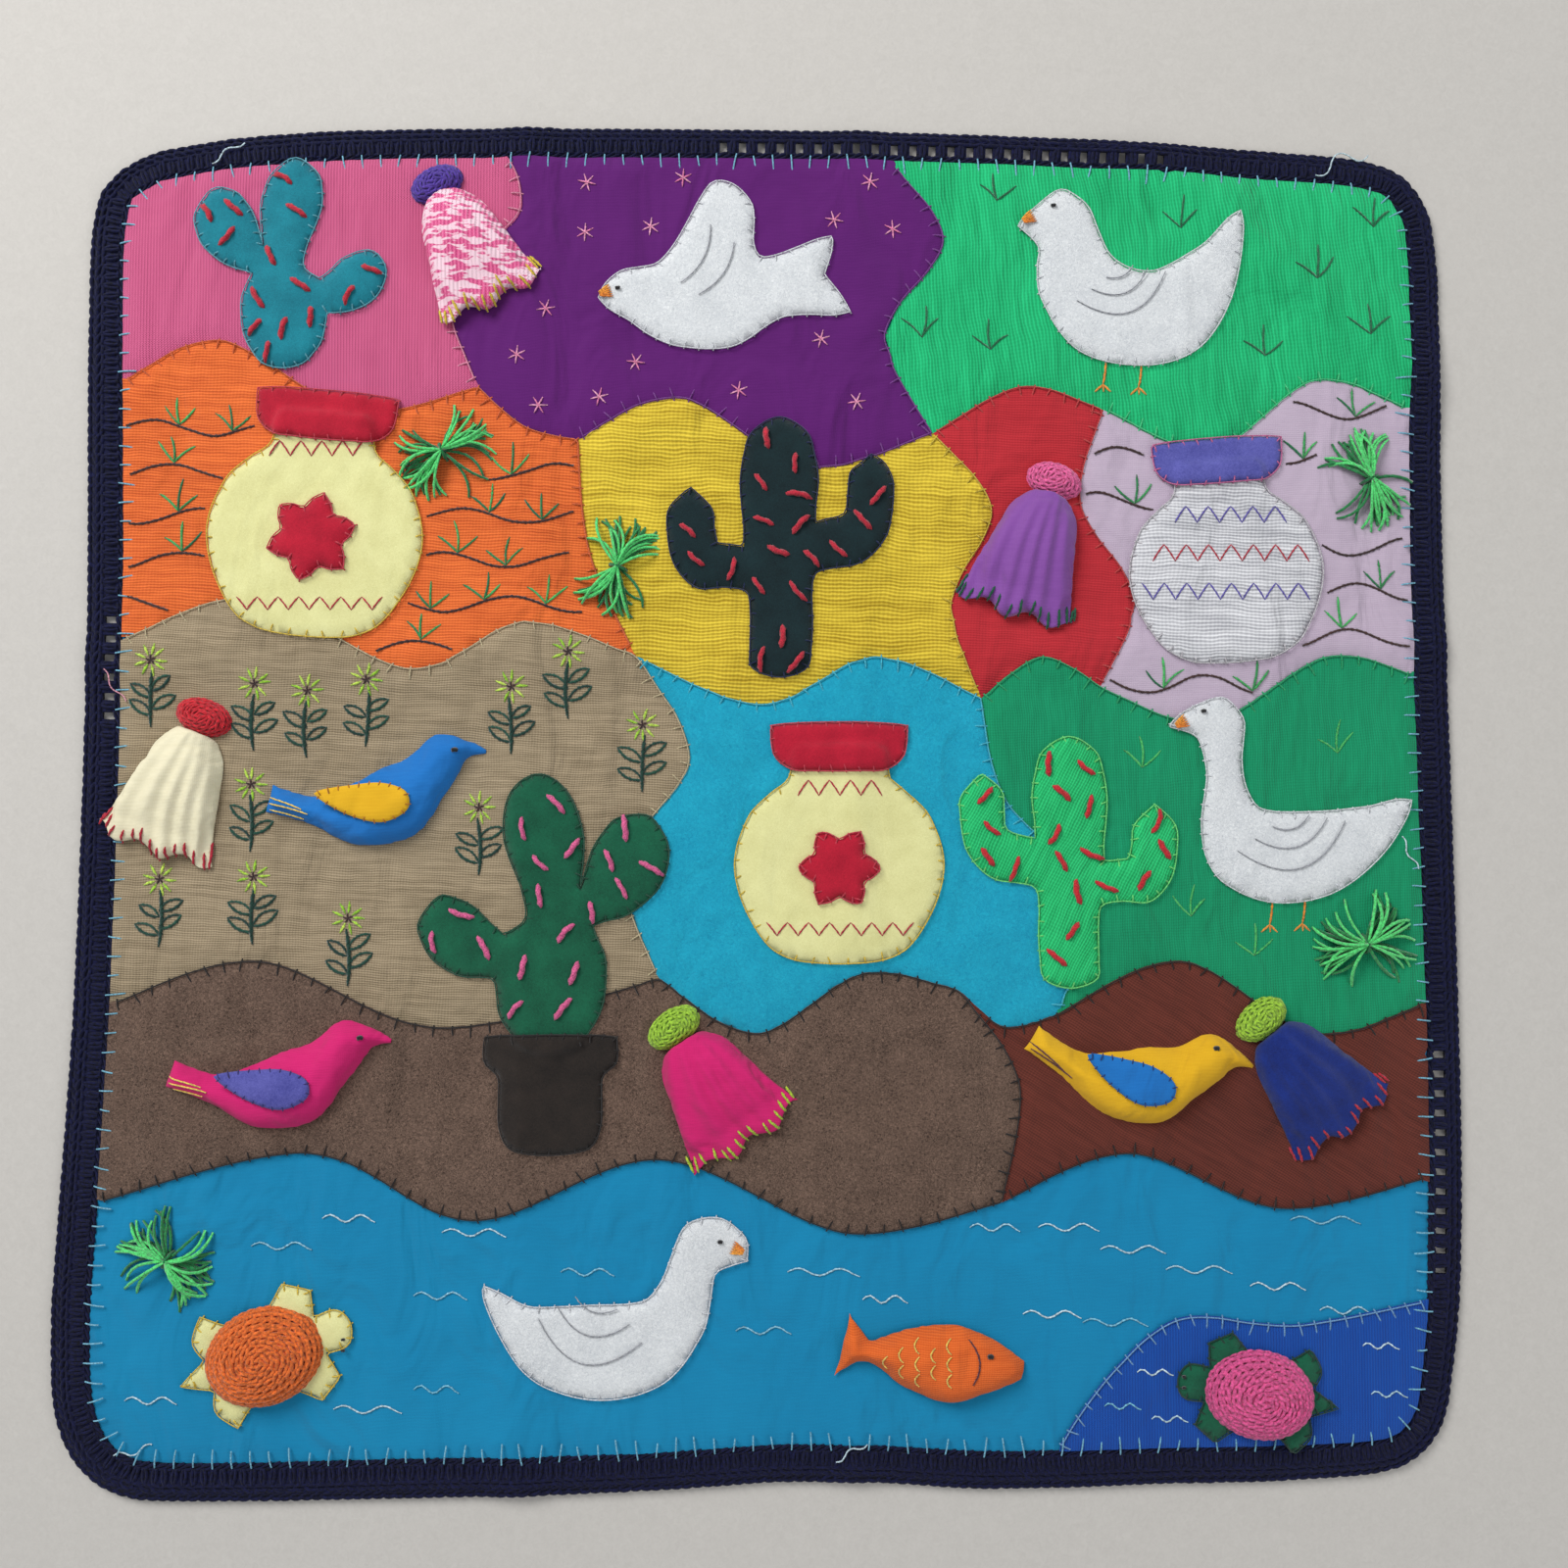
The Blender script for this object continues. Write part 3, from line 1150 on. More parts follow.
Cup = namedtuple("Cup", "node slot red green blue pitch yarn")
CUPS = (
    Cup("purple_bell_cap", "pink_crochet", 246, 108, 168, 2.3, 0.55),
    Cup("magenta_bell_cap", "lime_crochet", 168, 214, 62, 2.3, 0.55),
    Cup("cream_bell_cap", "red_crochet", 214, 34, 48, 2.3, 0.55),
    Cup("navy_bell_cap", "lime_crochet", 168, 214, 62, 2.3, 0.55),
    Cup("knit_bell_cap", "purple_crochet", 88, 60, 168, 2.3, 0.55),
    Cup("pond_turtle_shell", "orange_crochet", 244, 118, 44, 2.9, 0.72),
    Cup("pool_turtle_shell", "pink_crochet", 240, 92, 156, 2.9, 0.72),
)
for cup in CUPS:
    yarn = thread_of(cup.node + "_yarn", cup.red, cup.green, cup.blue, fine=0.9)
    crocheted_cup(cup.node, yarn, cup.slot, cup.pitch, cup.yarn)

# Yarn tufts.
# Each is some fifty lengths of two green yarns, the darker below. They are tied across the middle, which
# fans them out to both sides, and sewn down by the tie.


def stroke_tree():
    """Twisted yarn along lines: `thick` sets its width from place to place, and its ends draw in."""
    tree, given = new_tree("thread strokes", (
        ("Step", "Float", 0.0012),
        ("Yarn", "Float", 0.0005),
        ("Ply", "Float", 0.25),
        ("Turns", "Float", 900.0),
        ("Draw In", "Float", 0.35),
    ))
    curve = node(tree, "GeometryNodeMeshToCurve", {"Mesh": given["Geometry"]}).outputs[0]
    spline = node(tree, "GeometryNodeSplineParameter").outputs
    tilt = maths(tree, "MULTIPLY", spline["Length"], given["Turns"])
    twisted = {"Curve": resampled(tree, curve, given["Step"]), "Tilt": tilt}
    tilted = node(tree, "GeometryNodeSetCurveTilt", twisted).outputs[0]
    nearest = maths(tree, "MINIMUM", spline["Factor"], maths(tree, "SUBTRACT", 1.0, spline["Factor"]))
    ends = spread_of(tree, nearest, 0.0, 0.2, given["Draw In"], 1.0, interpolation_type="SMOOTHSTEP")
    scale = maths(tree, "MULTIPLY", ends, stored(tree, "thick", "FLOAT"))
    inner = maths(tree, "MULTIPLY", given["Yarn"], maths(tree, "SUBTRACT", 1.0, given["Ply"]))
    star = {"Points": 3, "Inner Radius": inner, "Outer Radius": given["Yarn"]}
    plies = node(tree, "GeometryNodeCurveStar", star).outputs[0]
    end_tree(tree, swept(tree, tilted, plies, scale), given["Material"])
    return tree


def strokes_mesh(name, strokes):
    """Lines of thread as a mesh of edges: (points in mm, thick, dye from 0 to 1)."""
    mesh = polyline_mesh(name, [(stroke[0], False) for stroke in strokes])
    for label, column in (("thick", 1), ("dye", 2)):
        store = mesh.attributes.new(label, "FLOAT", "POINT")
        store.data.foreach_set("value", [stroke[column] for stroke in strokes for _ in stroke[0]])
    return mesh


def dyed(name, first, second):
    """Yarn in two dyes: `dye` picks one or the other, or between them."""
    material, tree, shader, place = fabric(name, 0.85, 0.3)
    share = node(tree, "ShaderNodeAttribute", attribute_name="dye").outputs["Fac"]
    hue = blend_of(tree, share, colour(*first), colour(*second))
    shaded = {0: 1.0, 6: hue, 7: (0.34, 0.34, 0.34, 1.0)}
    dark = node(tree, "ShaderNodeMix", shaded, data_type="RGBA", blend_type="MULTIPLY").outputs[2]
    tint(tree, shader, spread_of(tree, fibres(tree, place, 0.7), 0.3, 0.6), dark, hue)
    return material


def embroider(name, strokes, yarn, material, slot, step=1.3, turns=900.0, draw=0.5, ply=0.25, nodes=()):
    """Works a set of strokes in one yarn; sizes in mm."""
    piece_from(name, grown(name, strokes_mesh("strokes", strokes), thread_strokes, {
        "Step": step * MM,
        "Yarn": yarn * MM,
        "Ply": ply,
        "Turns": turns,
        "Draw In": draw,
        "Material": material,
    }), slot, *nodes)


thread_strokes = stroke_tree()
green_yarn = dyed("green_yarn", (12, 122, 64), (88, 226, 122))
TUFTS = {
    "tuft_orange": 25,
    "tuft_corner": -30,
    "tuft_yellow": 70,
    "tuft_emerald": 10,
    "tuft_lilac": 115,
}
for name, turn in TUFTS.items():
    rng = random.Random(name)
    low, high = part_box(name)
    middle = (low + high) / 2 / MM
    base = low.z / MM
    strokes = []
    for number in range(52):
        upper = number > 28
        fan = turn + 180 * (number % 2) + rng.gauss(0, 29)
        angle = math.radians(fan)
        long = rng.uniform(13.5, 18.0) if upper else rng.uniform(12.5, 17.5)
        bend = rng.uniform(-0.55, 0.55)
        rise = rng.uniform(2.6, 4.6) if upper else rng.uniform(0.8, 2.6)
        points = []
        for step in range(9):
            t = step / 8
            heading = angle + bend * t * t
            x = middle.x + math.cos(heading) * (long * t + 0.4)
            y = middle.y + math.sin(heading) * (long * t + 0.4)
            arch = rise * (1 - t) ** 0.7 + 1.5 * math.sin(math.pi * t) * (rise / 4)
            points.append((x, y, base + 0.7 + arch))
        strokes.append((points, rng.uniform(0.85, 1.15), 1.0 if upper else rng.uniform(0.0, 0.2)))
    across = math.radians(turn + 90)
    tie = []
    for step in range(9):
        swing = 3.1 * math.cos(math.pi * step / 8)
        height = base + 0.6 + 4.2 * math.sin(math.pi * step / 8)
        tie.append((middle.x + math.cos(across) * swing, middle.y + math.sin(across) * swing, height))
    strokes.append((tie, 1.2, 0.0))
    embroider(name + "_yarn", strokes, 0.6, green_yarn, "green_yarn", 2.3, 700.0, 0.8, 0.3, (name,))

# Hem stitches on the bell flowers.
# Thick yarn in a second colour sewn over each hem, as a fringe of leaning stitches.
for name, bell in BELLS.items():
    rng = random.Random(name)
    turned = Matrix.Rotation(math.radians(bell.turn), 2)
    back = turned.inverted()
    hem = []
    for point in stuffed_rings[name]:
        local = back @ Vector((point.x - bell.x, point.y - bell.y))
        if local.y < -0.86 * bell.length:
            hem.append(local)
    hem.sort(key=lambda place: place.x)
    strokes = []
    walked = 2.0
    for before, place in zip(hem, hem[1:]):
        walked += (place - before).length
        if walked < 2.9:
            continue
        walked = rng.uniform(-0.4, 0.4)
        lean = rng.uniform(-0.9, 0.9)
        long = rng.uniform(3.6, 5.2)
        points = []
        for step in range(7):
            t = step / 6
            share = place.x / bell.hem
            local = Vector((place.x - share * long * t * 0.25 + lean * t, place.y - 0.5 + (long + 0.5) * t))
            spot = turned @ local
            x, y = bell.x + spot.x, bell.y + spot.y
            top = top_of(stuffed_shapes[name], x, y)
            z = top + 0.35 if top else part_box(name)[0].z / MM + 0.9
            points.append((x, y, z - 0.5 * t**8))
        strokes.append((points, rng.uniform(0.9, 1.1), rng.random()))
    embroider(name + "_hem", strokes, 0.55, bell.hem_yarn, bell.slot, 0.9, draw=0.6, ply=0.28)

# Yarn stitches on the cacti.
# Short thick stitches of crimson and pink yarn, one by one and every way round, like thorns and buds.


def scattered(ring, room, apart, seed, tries=900):
    """Places inside a ring, clear of its edge and of each other."""
    rng = random.Random(seed)
    rim = tree_of(ring)
    xs = [p.x for p in ring]
    ys = [p.y for p in ring]
    found = []
    for _ in range(tries):
        x, y = rng.uniform(min(xs), max(xs)), rng.uniform(min(ys), max(ys))
        if rim.find((x, y, 0))[2] < room or not inside(ring, x, y):
            continue
        if all(math.hypot(x - a, y - b) > apart for a, b in found):
            found.append((x, y))
    return found


Bud = namedtuple("Bud", "node yarn long apart")
BUDS = (
    Bud("cactus_yellow", crimson_yarn, 8.6, 9.6),
    Bud("cactus_green", thread_of("scarlet_yarn", 220, 40, 50), 8.4, 9.4),
    Bud("cactus_pink", crimson_yarn, 8.2, 9.4),
    Bud("cactus_tan", rose_yarn, 8.8, 9.8),
)
for bud in BUDS:
    ring, base = motif_rings[bud.node]
    rng = random.Random(bud.node)
    strokes = []
    above = [other for other, level in motif_rings.values() if level > base]
    for x, y in scattered(ring, 3.6, bud.apart, bud.node):
        if any(inside(other, x, y) or tree_of(other).find((x, y, 0))[2] < 5.0 for other in above):
            continue
        angle = rng.uniform(0.25, 0.95) * math.pi
        bow = rng.uniform(-1.0, 1.0)
        half = bud.long * rng.uniform(0.42, 0.56)
        points = []
        for step in range(7):
            t = step / 3 - 1
            px = x + math.cos(angle) * half * t - math.sin(angle) * bow * (1 - t * t)
            py = y + math.sin(angle) * half * t + math.cos(angle) * bow * (1 - t * t)
            points.append((px, py, base + 1.75 + lay(px, py) + 0.85 * (1 - t * t) - 0.9 * t**6))
        strokes.append((points, rng.uniform(0.9, 1.12), 0.0))
    slot = next(motif.slot for motif in MOTIFS if motif.node == bud.node)
    embroider(bud.node + "_buds", strokes, 1.05, bud.yarn, slot, 0.8, 560.0, 0.55, 0.24)

# Embroidery on the fields.
# Straight and stem stitches in thick and thin thread: flowers on the tan gauze, furrows with sprigs on
# the orange and the lilac, grass sprigs on the greens, stars on the purple, and ripples on the pond.
tops = [motif_rings[motif.node][0] for motif in MOTIFS] + list(stuffed_rings.values())
for name in (*TUFTS, *(cup.node for cup in CUPS)):
    low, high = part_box(name)
    middle, reach = (low + high) / 2 / MM, (high - low) / 2 / MM
    reach *= 1.25 if name in TUFTS else 1.0
    steps = [k / 3 for k in range(19)]
    tops.append([Vector((middle.x + reach.x * math.cos(a), middle.y + reach.y * math.sin(a))) for a in steps])
top_trees = [tree_of(ring) for ring in tops]


def clear(x, y, room, field):
    """Whether a point lies on a field and at least `room` from its edge and from all that is sewn on it."""
    ring = field_rings.get(field, ground_ring)
    if not inside(ring, x, y) or tree_of_field[field].find((x, y, 0))[2] < room:
        return False
    above = zip(tops, top_trees)
    return all(tree.find((x, y, 0))[2] > room and not inside(ring, x, y) for ring, tree in above)


tree_of_field = {name: tree_of(ring) for name, ring in field_rings.items()}
tree_of_field["pond"] = sewn[0]


def on_field(points, level=PATCH_TOP):
    """Flat points raised to the top of the cloth."""
    return [(x, y, level + 0.32 + lay(x, y)) for x, y in points]


def bent(x0, y0, x1, y1, bow, steps=6):
    """A line between two points that bows to its left."""
    dx, dy = x1 - x0, y1 - y0
    found = []
    for step in range(steps + 1):
        t = step / steps
        off = bow * 4 * t * (1 - t)
        found.append((x0 + dx * t - dy * off, y0 + dy * t + dx * off))
    return found


def sprig(x, y, size, rng, level=PATCH_TOP, blades=3):
    """A few straight stitches that spread from one hole."""
    made = []
    for number in range(blades):
        angle = math.radians(90 + (number - (blades - 1) / 2) * 46 + rng.uniform(-9, 9))
        long = size * (1.15 if number == blades // 2 else 0.95) * rng.uniform(0.85, 1.1)
        end = (x + math.cos(angle) * long, y + math.sin(angle) * long)
        points = on_field(bent(x, y, *end, rng.uniform(-0.08, 0.08), 4), level)
        made.append((points, rng.uniform(0.9, 1.1), rng.random()))
    return made


deep_green = dyed("deep_green_thread", (8, 54, 44), (16, 78, 58))
field_green = dyed("field_green_thread", (12, 104, 66), (70, 190, 96))
dark_brown = dyed("dark_brown_thread", (48, 24, 26), (66, 34, 30))
lime = dyed("lime_thread", (150, 206, 40), (206, 236, 90))
pale_water = dyed("pale_water_thread", (110, 196, 224), (214, 238, 246))
orange_thread = dyed("orange_thread", (236, 132, 36), (250, 170, 60))
black_thread = dyed("black_thread", (20, 18, 22), (44, 40, 48))
pink_thread = dyed("pink_thread", (236, 120, 170), (250, 176, 206))

stems = []
blooms = []
whiskers = []
rng = random.Random("flowers")
planted = []
for x, foot in scattered(field_rings["tan_patch"], 2.0, 5.0, "flowers", 6000):
    rises = ((0, 0), (-7, 9), (7, 9), (0, 27), (-5.5, 24), (5.5, 24))
    spots = [(x + aside, foot + rise) for aside, rise in rises]
    apart = all(abs(x - a) > 17.5 or abs(foot - b) > 29 for a, b in planted)
    if apart and all(clear(px, py, 1.4, "tan_patch") for px, py in spots):
        planted.append((x, foot))
for x, foot in planted:
    stalk = bent(x, foot, x + rng.uniform(-1, 1), foot + 19, rng.uniform(-0.06, 0.06), 8)
    stems.append((on_field(stalk), 1.25, 0.2))
    for side, rise in ((-1, 4.0), (1, 6.0), (-1, 10.0), (1, 12.0)):
        tip = (x + side * rng.uniform(6.5, 8.5), foot + rise + rng.uniform(3.5, 5.5))
        stems.append((on_field(bent(x, foot + rise, *tip, -side * 0.16)), 1.0, rng.random()))
        stems.append((on_field(bent(*tip, x, foot + rise, -side * 0.2)), 0.85, rng.random()))
    for number in range(9):
        angle = math.radians(40 * number + rng.uniform(-7, 7))
        near = (x + math.cos(angle) * 1.7, foot + 22.5 + math.sin(angle) * 1.7)
        far = (x + math.cos(angle) * 5.6, foot + 22.5 + math.sin(angle) * 5.6)
        blooms.append((on_field(bent(*near, *far, rng.uniform(-0.06, 0.06), 4)), 1.0, rng.random()))
    for number in range(5):
        angle = math.radians(72 * number + 20)
        far = (x + math.cos(angle) * 1.7, foot + 22.5 + math.sin(angle) * 1.7)
        whiskers.append((on_field(bent(x, foot + 22.5, *far, 0.1, 3)), 1.0, rng.random()))
embroider("flower_stems", stems, 0.72, deep_green, "green_yarn")
embroider("flower_petals", blooms, 0.6, lime, "lime_crochet", step=1.0)
embroider("flower_hearts", whiskers, 0.5, dark_brown, "brown_felt", step=0.8)

furrows = []
sprigs = []
Furrow = namedtuple("Furrow", "field first last gap swing wave")
FURROWS = (
    Furrow("orange_patch", 52.0, 140.0, 15.0, 2.6, 44.0),
    Furrow("lilac_patch", 40.0, 152.0, 15.5, 3.0, 38.0),
)
for furrow in FURROWS:
    rng = random.Random(furrow.field)
    xs = [p.x for p in field_rings[furrow.field]]
    y = furrow.first
    while y < furrow.last:
        phase = rng.uniform(0, 6)
        run = []
        x = min(xs)
        since = 0.0
        while x < max(xs):
            py = y + furrow.swing * math.sin(x / furrow.wave * 2 * math.pi + phase)
            py += 0.5 * noise.noise(Vector((x / 9, y, 0)))
            if clear(x, py, 1.6, furrow.field):
                run.append((x, py))
                since += 1.5
                tips = ((x, py + 10), (x - 7, py + 6), (x + 7, py + 6))
                if since > 16 + 6 * rng.random() and all(clear(px, ty, 0.8, furrow.field) for px, ty in tips):
                    sprigs.extend(sprig(x, py + 0.6, 9.0, rng))
                    since = 0.0
            else:
                if len(run) > 6:
                    furrows.append((on_field(run), 1.0, rng.random()))
                run = []
            x += 1.5
        if len(run) > 6:
            furrows.append((on_field(run), 1.0, rng.random()))
        y += furrow.gap
embroider("furrow_lines", furrows, 0.58, dark_brown, "brown_felt", step=1.5, draw=0.9)
embroider("furrow_sprigs", sprigs, 0.48, field_green, "green_yarn", step=1.6)

grass = []
for field, apart, size, tone in (("green_patch", 23, 9.5, 0.0), ("emerald_patch", 21, 9.0, 1.0)):
    rng = random.Random(field + "grass")
    for x, y in scattered(field_rings[field], 9.0, apart, field + "spots"):
        if clear(x, y + 4, 7.5, field):
            grass.extend((points, thick, tone) for points, thick, _ in sprig(x, y, size, rng))
embroider("grass_sprigs", grass, 0.4, field_green, "green_yarn", step=1.6)

stars = []
rng = random.Random("stars")
for x, y in scattered(field_rings["purple_patch"], 7.0, 17.0, "stars"):
    if not clear(x, y, 5.5, "purple_patch"):
        continue
    turn = rng.uniform(0, 1)
    for number in range(3):
        angle = turn + number * math.pi / 3
        dx, dy = 3.1 * math.cos(angle), 3.1 * math.sin(angle)
        points = on_field(bent(x - dx, y - dy, x + dx, y + dy, 0.0, 6))
        stars.append(([(px, py, pz + 0.14 * number) for px, py, pz in points], 1.0, rng.random()))
embroider("star_stitches", stars, 0.34, pink_thread, "pink_crochet", step=1.2)

ripples = []
rng = random.Random("ripples")
for x, y in scattered(ground_ring, 13.0, 21.0, "ripples", 4000):
    half = rng.uniform(7, 12)
    spots = [(x + half * t, y) for t in (-1, -0.5, 0, 0.5, 1)]
    fields = field_rings.values()
    bare = all(clear(px, py, 3.5, "pond") and not any(inside(f, px, py) for f in fields) for px, py in spots)
    if bare and y < -132:
        points = [(x + half * (k / 6 - 1), y + 1.3 * math.sin(k * 0.9)) for k in range(13)]
        ripples.append((on_field(points, GROUND_TOP), 1.0, rng.random()))
embroider("pond_ripples", ripples, 0.36, pale_water, "turquoise_cotton", step=1.4, draw=0.7)
pool_ripples = []
for x, y in scattered(field_rings["pool_patch"], 9.0, 15.0, "pool"):
    if clear(x, y, 6.5, "pool_patch"):
        points = [(x + 6 * (k / 6 - 1), y + 1.1 * math.sin(k * 0.95)) for k in range(13)]
        pool_ripples.append((on_field(points), 1.0, rng.random()))
embroider("pool_ripples", pool_ripples, 0.36, pale_water, "royal_jersey", step=1.4, draw=0.7)

# Beaks, eyes, feathers, scales and bands.
# Fine stitches that finish the animals and the jugs: black knots, orange beaks and legs, grey feather
# lines, lines and scales in two yarns, and zigzag bands round the jugs in the colours of their rims.


def over(shape, points, lift_by=0.35):
    """Flat points raised to the top of a stuffed shape."""
    return [(x, y, (top_of(shape, x, y) or PATCH_TOP) + lift_by) for x, y in points]


Head = namedtuple("Head", "node eye_x eye_y tip_x tip_y level")
HEADS = (
    Head("white_duck", -12.2, -145.4, -4.4, -148.6, 3.5),
    Head("white_goose", 149.2, 30.6, 139.8, 25.8, 4.8),
    Head("white_hen", 100.2, 202.5, 89.8, 197.3, 4.8),
    Head("white_dove", -47.4, 174.2, -53.6, 172.1, 4.8),
)
eyes = []
beaks = []
for head in HEADS:
    dx, dy = head.eye_x - head.tip_x, head.eye_y - head.tip_y
    far = math.hypot(dx, dy)
    dx, dy = dx / far, dy / far
    level = head.level + 0.1
    knot = bent(head.eye_x - 0.8, head.eye_y, head.eye_x + 0.8, head.eye_y, 0.1, 4)
    eyes.append((on_field(knot, level), 1.2, 0.0))
    for number in range(6):
        side = (number - 2.5) * 0.28
        start = (head.tip_x + dx * 4.2 - dy * side * 3.0, head.tip_y + dy * 4.2 + dx * side * 3.0)
        end = (head.tip_x - dy * side, head.tip_y + dx * side)
        beaks.append((on_field(bent(*start, *end, 0.0, 4), level), 1.0, number / 5))
SMALL_HEADS = (("blue_bird", -100.6, 17.4), ("magenta_bird", -131.0, -77.8), ("yellow_bird", 151.4, -81.2),
               ("orange_fish", 76.4, -181.4))
for name, x, y in SMALL_HEADS:
    shape = stuffed_shapes[name]
    eyes.append((over(shape, bent(x - 0.9, y, x + 0.9, y, 0.1, 4), 0.3), 1.5, 0.0))
TURTLE_EYES = (("pond_turtle", 1), ("pool_turtle", -1))
for name, way in TURTLE_EYES:
    ring, base = motif_rings[name]
    low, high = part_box(name + "_shell")
    edge_x = (high.x if way > 0 else low.x) / MM
    head = [p for p in ring if (p.x - edge_x) * way > 5.0]
    head_y = sum(p.y for p in head) / len(head)
    head_x = sum(p.x for p in head) / len(head)
    for side in (-1.8, 1.8):
        knot = bent(head_x - 0.6, head_y + side, head_x + 0.6, head_y + side, 0.1, 4)
        eyes.append((on_field(knot, base + 1.6), 0.9, 0.0))
LEGS = (("white_hen", 118.0), ("white_hen", 130.0), ("white_goose", 172.0), ("white_goose", 183.0))
for name, x in LEGS:
    ring = motif_rings[name][0]
    foot = min(p.y for p in ring if abs(p.x - x) < 2.0)
    beaks.append((on_field(bent(x, foot + 0.5, x - 1, foot - 7.5, 0.03, 5)), 1.1, 0.3))
    for spread_by in (-2.8, 0.2, 2.6):
        beaks.append((on_field(bent(x - 1, foot - 7.5, x - 1 + spread_by, foot - 10.0, 0.0, 3)), 1.0, 0.6))
embroider("eye_knots", eyes, 0.6, black_thread, "black_felt", step=0.4, draw=0.8)
embroider("beaks_and_legs", beaks, 0.42, orange_thread, "orange_crochet", step=0.9)

Feather = namedtuple("Feather", "x0 y0 x1 y1 bow level")
FEATHERS = (
    Feather(-72, -170, -38, -178, -0.32, 3.5),
    Feather(-66, -166, -42, -172, -0.28, 3.5),
    Feather(-60, -163, -46, -167, -0.22, 3.5),
    Feather(160, -16, 196, -6, -0.3, 4.8),
    Feather(166, -12, 190, -5, -0.26, 4.8),
    Feather(172, -8, 184, -4, -0.22, 4.8),
    Feather(108, 170, 138, 180, -0.3, 4.8),
    Feather(113, 174, 132, 181, -0.26, 4.8),
    Feather(118, 178, 127, 182, -0.2, 4.8),
    Feather(-26, 176, -16, 196, -0.14, 4.8),
    Feather(-20, 172, -8, 190, -0.14, 4.8),
)
feathers = [(on_field(bent(*f[:5], 12), f.level + 0.1), 1.0, 0.3) for f in FEATHERS]
TAILS = (("blue_bird", 1.0), ("magenta_bird", 1.0), ("yellow_bird", 0.0))
tail_lines = []
for name, dye in TAILS:
    ring = stuffed_rings[name]
    end_x = min(p.x for p in ring)
    tip = [p.y for p in ring if p.x < end_x + 2.5]
    root = [p.y for p in ring if abs(p.x - end_x - 18) < 1.6]
    for side in (-1, 0, 1):
        start = (end_x + 2.5, sum(tip) / len(tip) + side * 2.1)
        end = (end_x + 16 - abs(side) * 2, sum(root) / len(root) + side * 1.6)
        tail_lines.append((over(stuffed_shapes[name], bent(*start, *end, 0.02, 12), 0.25), 1.0, dye))
fish = stuffed_shapes["orange_fish"]
tail_lines.append((over(fish, bent(69.5, -176.0, 70.5, -190.0, 0.2, 10), 0.25), 1.1, 0.0))
for column in range(5):
    for row in range(-1, 2):
        x, y = 63.5 - column * 5.2, -183.2 + (row + 0.5 * (column % 2)) * 5.4
        if all(inside(stuffed_rings["orange_fish"], x, y + off) for off in (-3.4, 3.4)):
            tail_lines.append((over(fish, bent(x, y + 2.3, x, y - 2.3, -0.34, 6), 0.25), 1.0, 1.0))
body_thread = dyed("body_thread", (96, 34, 40), (250, 214, 96))
embroider("body_lines", tail_lines, 0.34, body_thread, "yellow_cotton", step=1.1, draw=0.7)
grey_thread = dyed("grey_thread", (150, 152, 160), (196, 198, 204))
embroider("feather_lines", feathers, 0.28, grey_thread, "white_fleece", step=1.6, draw=0.8)

Band = namedtuple("Band", "jug y wave high dye slot")
BANDS = (
    Band("jug_fleece", 5.0, 7.0, 2.6, 0.0, "red_felt"),
    Band("jug_fleece", -42.0, 7.0, 2.2, 0.0, "red_felt"),
    Band("jug_orange", 119.5, 7.0, 2.6, 0.0, "red_felt"),
    Band("jug_orange", 67.0, 7.0, 2.2, 0.0, "red_felt"),
    Band("jug_lilac", 97.0, 7.5, 2.8, 1.0, "lavender_felt"),
    Band("jug_lilac", 84.0, 7.5, 2.8, 0.0, "lavender_felt"),
    Band("jug_lilac", 71.0, 7.5, 2.8, 1.0, "lavender_felt"),
)
band_thread = dyed("band_thread", (190, 30, 56), (96, 84, 176))
bands = []
for band in BANDS:
    ring, base = motif_rings[band.jug]
    rim = tree_of(ring)
    xs = [p.x for p in ring]
    points = []
    x = min(xs)
    step = 0
    while x < max(xs):
        y = band.y + band.high * (1 if step % 2 else -1)
        if inside(ring, x, y) and rim.find((x, y, 0))[2] > 2.4:
            points.append((x, y))
        x += band.wave / 2
        step += 1
    for (ax, ay), (bx, by) in zip(points, points[1:]):
        bands.append((on_field(bent(ax, ay, bx, by, 0.03, 4), base + 1.65), 1.0, band.dye))
embroider("jug_bands", bands, 0.38, band_thread, "red_felt", step=1.2)

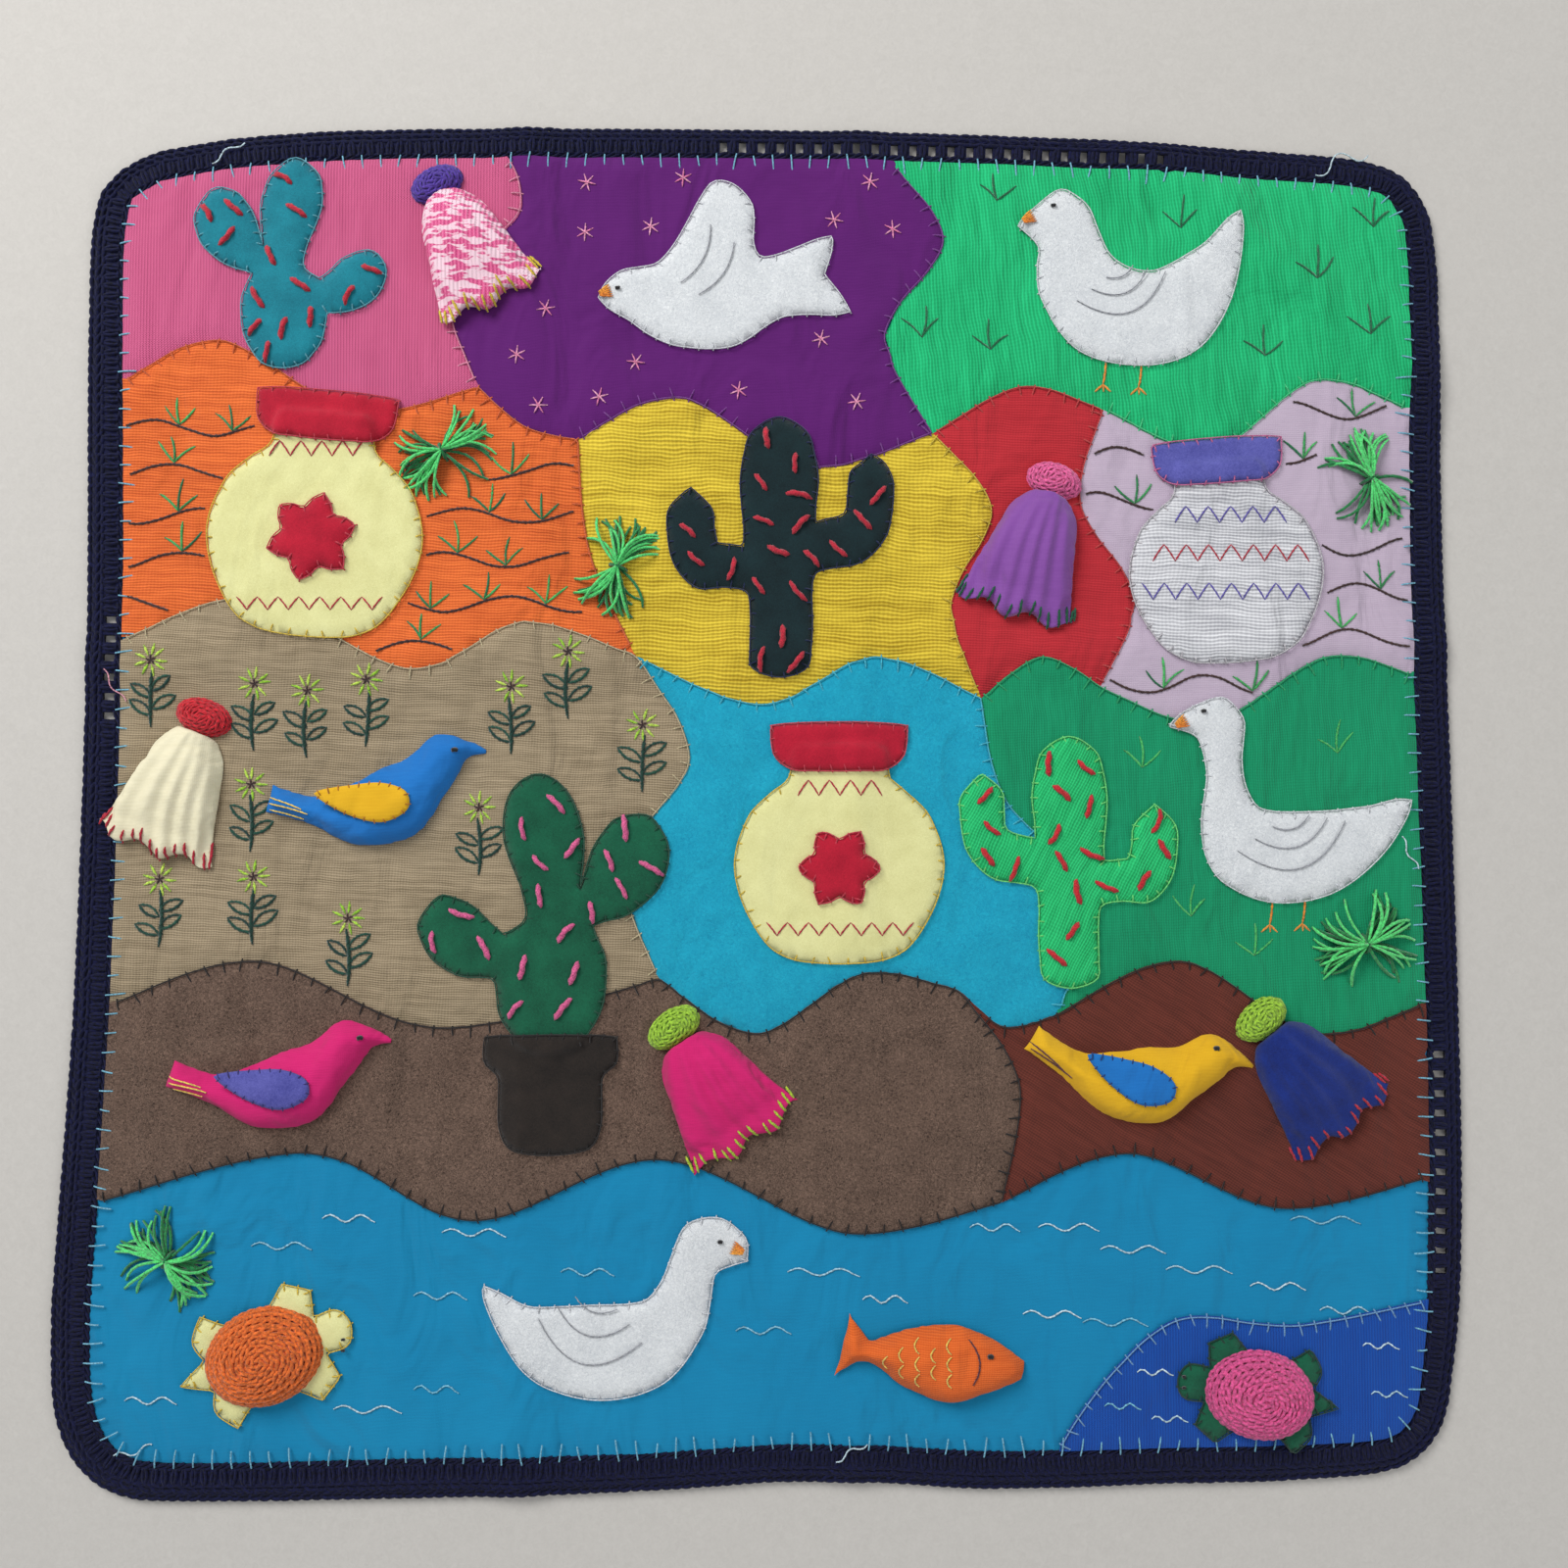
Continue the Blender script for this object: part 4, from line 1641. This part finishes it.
# Loose thread ends.
# A few ends of sewing thread that were never trimmed: pink on the left side, and pale ones at the corners
# and along the border.
Curl = namedtuple("Curl", "x y long turn swirl level yarn dye")
CURLS = (
    Curl(190, 214, 24, -30, 2.6, PATCH_TOP, 0.3, 1.0),
    Curl(-212, 34, 14, 96, 1.4, PATCH_TOP, 0.26, 0.0),
    Curl(-200, -212, 14, 160, 1.8, GROUND_TOP, 0.3, 1.0),
    Curl(-186, 218, 14, 6, 1.4, PATCH_TOP, 0.3, 1.0),
    Curl(221, -22, 13, 84, 1.6, PATCH_TOP, 0.3, 1.0),
    Curl(26, -217, 13, -8, 1.8, GROUND_TOP, 0.3, 1.0),
)
curls = []
for curl in CURLS:
    heading = math.radians(curl.turn)
    x, y = curl.x, curl.y
    points = []
    for step in range(19):
        t = step / 18
        under = max(curl.level + lay(x, y), top_of(border_shape, x, y) or 0.0)
        points.append((x, y, under + 0.35 + 0.5 * math.sin(math.pi * t) ** 2))
        heading += curl.swirl * math.sin(2 * math.pi * t * 1.3 + 0.6) / 6
        x += math.cos(heading) * curl.long / 18
        y += math.sin(heading) * curl.long / 18
    curls.append((points, curl.yarn / 0.3, curl.dye))
loose_thread = dyed("loose_thread", (236, 160, 180), (206, 230, 238))
embroider("loose_ends", curls, 0.3, loose_thread, "white_fleece", step=1.0, draw=0.9)

# Floor, light and camera.
# The textile lies face up on a plain pale floor under broad soft light, seen from straight above it.
floor_mesh = bpy.data.meshes.new("floor")
floor_mesh.from_pydata([(-3, -3, 0), (3, -3, 0), (3, 3, 0), (-3, 3, 0)], [], [(0, 1, 2, 3)])
floor = bpy.data.objects.new("floor", floor_mesh)
bpy.context.scene.collection.objects.link(floor)
floor_mesh.materials.append(felted("floor_paint", (196, 192, 186), (188, 184, 178), 2.0, 0.02, 0.2, 0.0, 0.1))


def soft_light(name, place, size, power):
    """A broad lamp pointed at the middle of the textile."""
    lamp = bpy.data.lights.new(name, "AREA")
    lamp.shape = "DISK"
    lamp.size = size
    lamp.energy = power
    holder = bpy.data.objects.new(name, lamp)
    bpy.context.scene.collection.objects.link(holder)
    holder.location = place
    holder.rotation_euler = (-Vector(place)).to_track_quat("-Z", "Y").to_euler()


soft_light("window", (-0.75, 0.9, 1.0), 0.8, 20)
soft_light("fill", (1.1, -0.5, 1.3), 1.4, 7)
world = bpy.data.worlds.new("room")
bpy.context.scene.world = world
world.use_nodes = True
sky = world.node_tree.nodes["Background"].inputs
sky["Color"].default_value = (0.93, 0.96, 1.0, 1.0)
sky["Strength"].default_value = 0.46
bpy.context.scene.view_settings.view_transform = "Standard"

camera = bpy.data.cameras.new("camera")
camera.sensor_width = 36.0
camera.lens = 36.0 * 1570 / 1600
camera.clip_start = 0.01
viewer = bpy.data.objects.new("camera", camera)
bpy.context.scene.collection.objects.link(viewer)
viewer.location = (0.0089, -0.01475, 0.5188)
viewer.rotation_euler = (0.041, 0.0, 0.0)
bpy.context.scene.camera = viewer
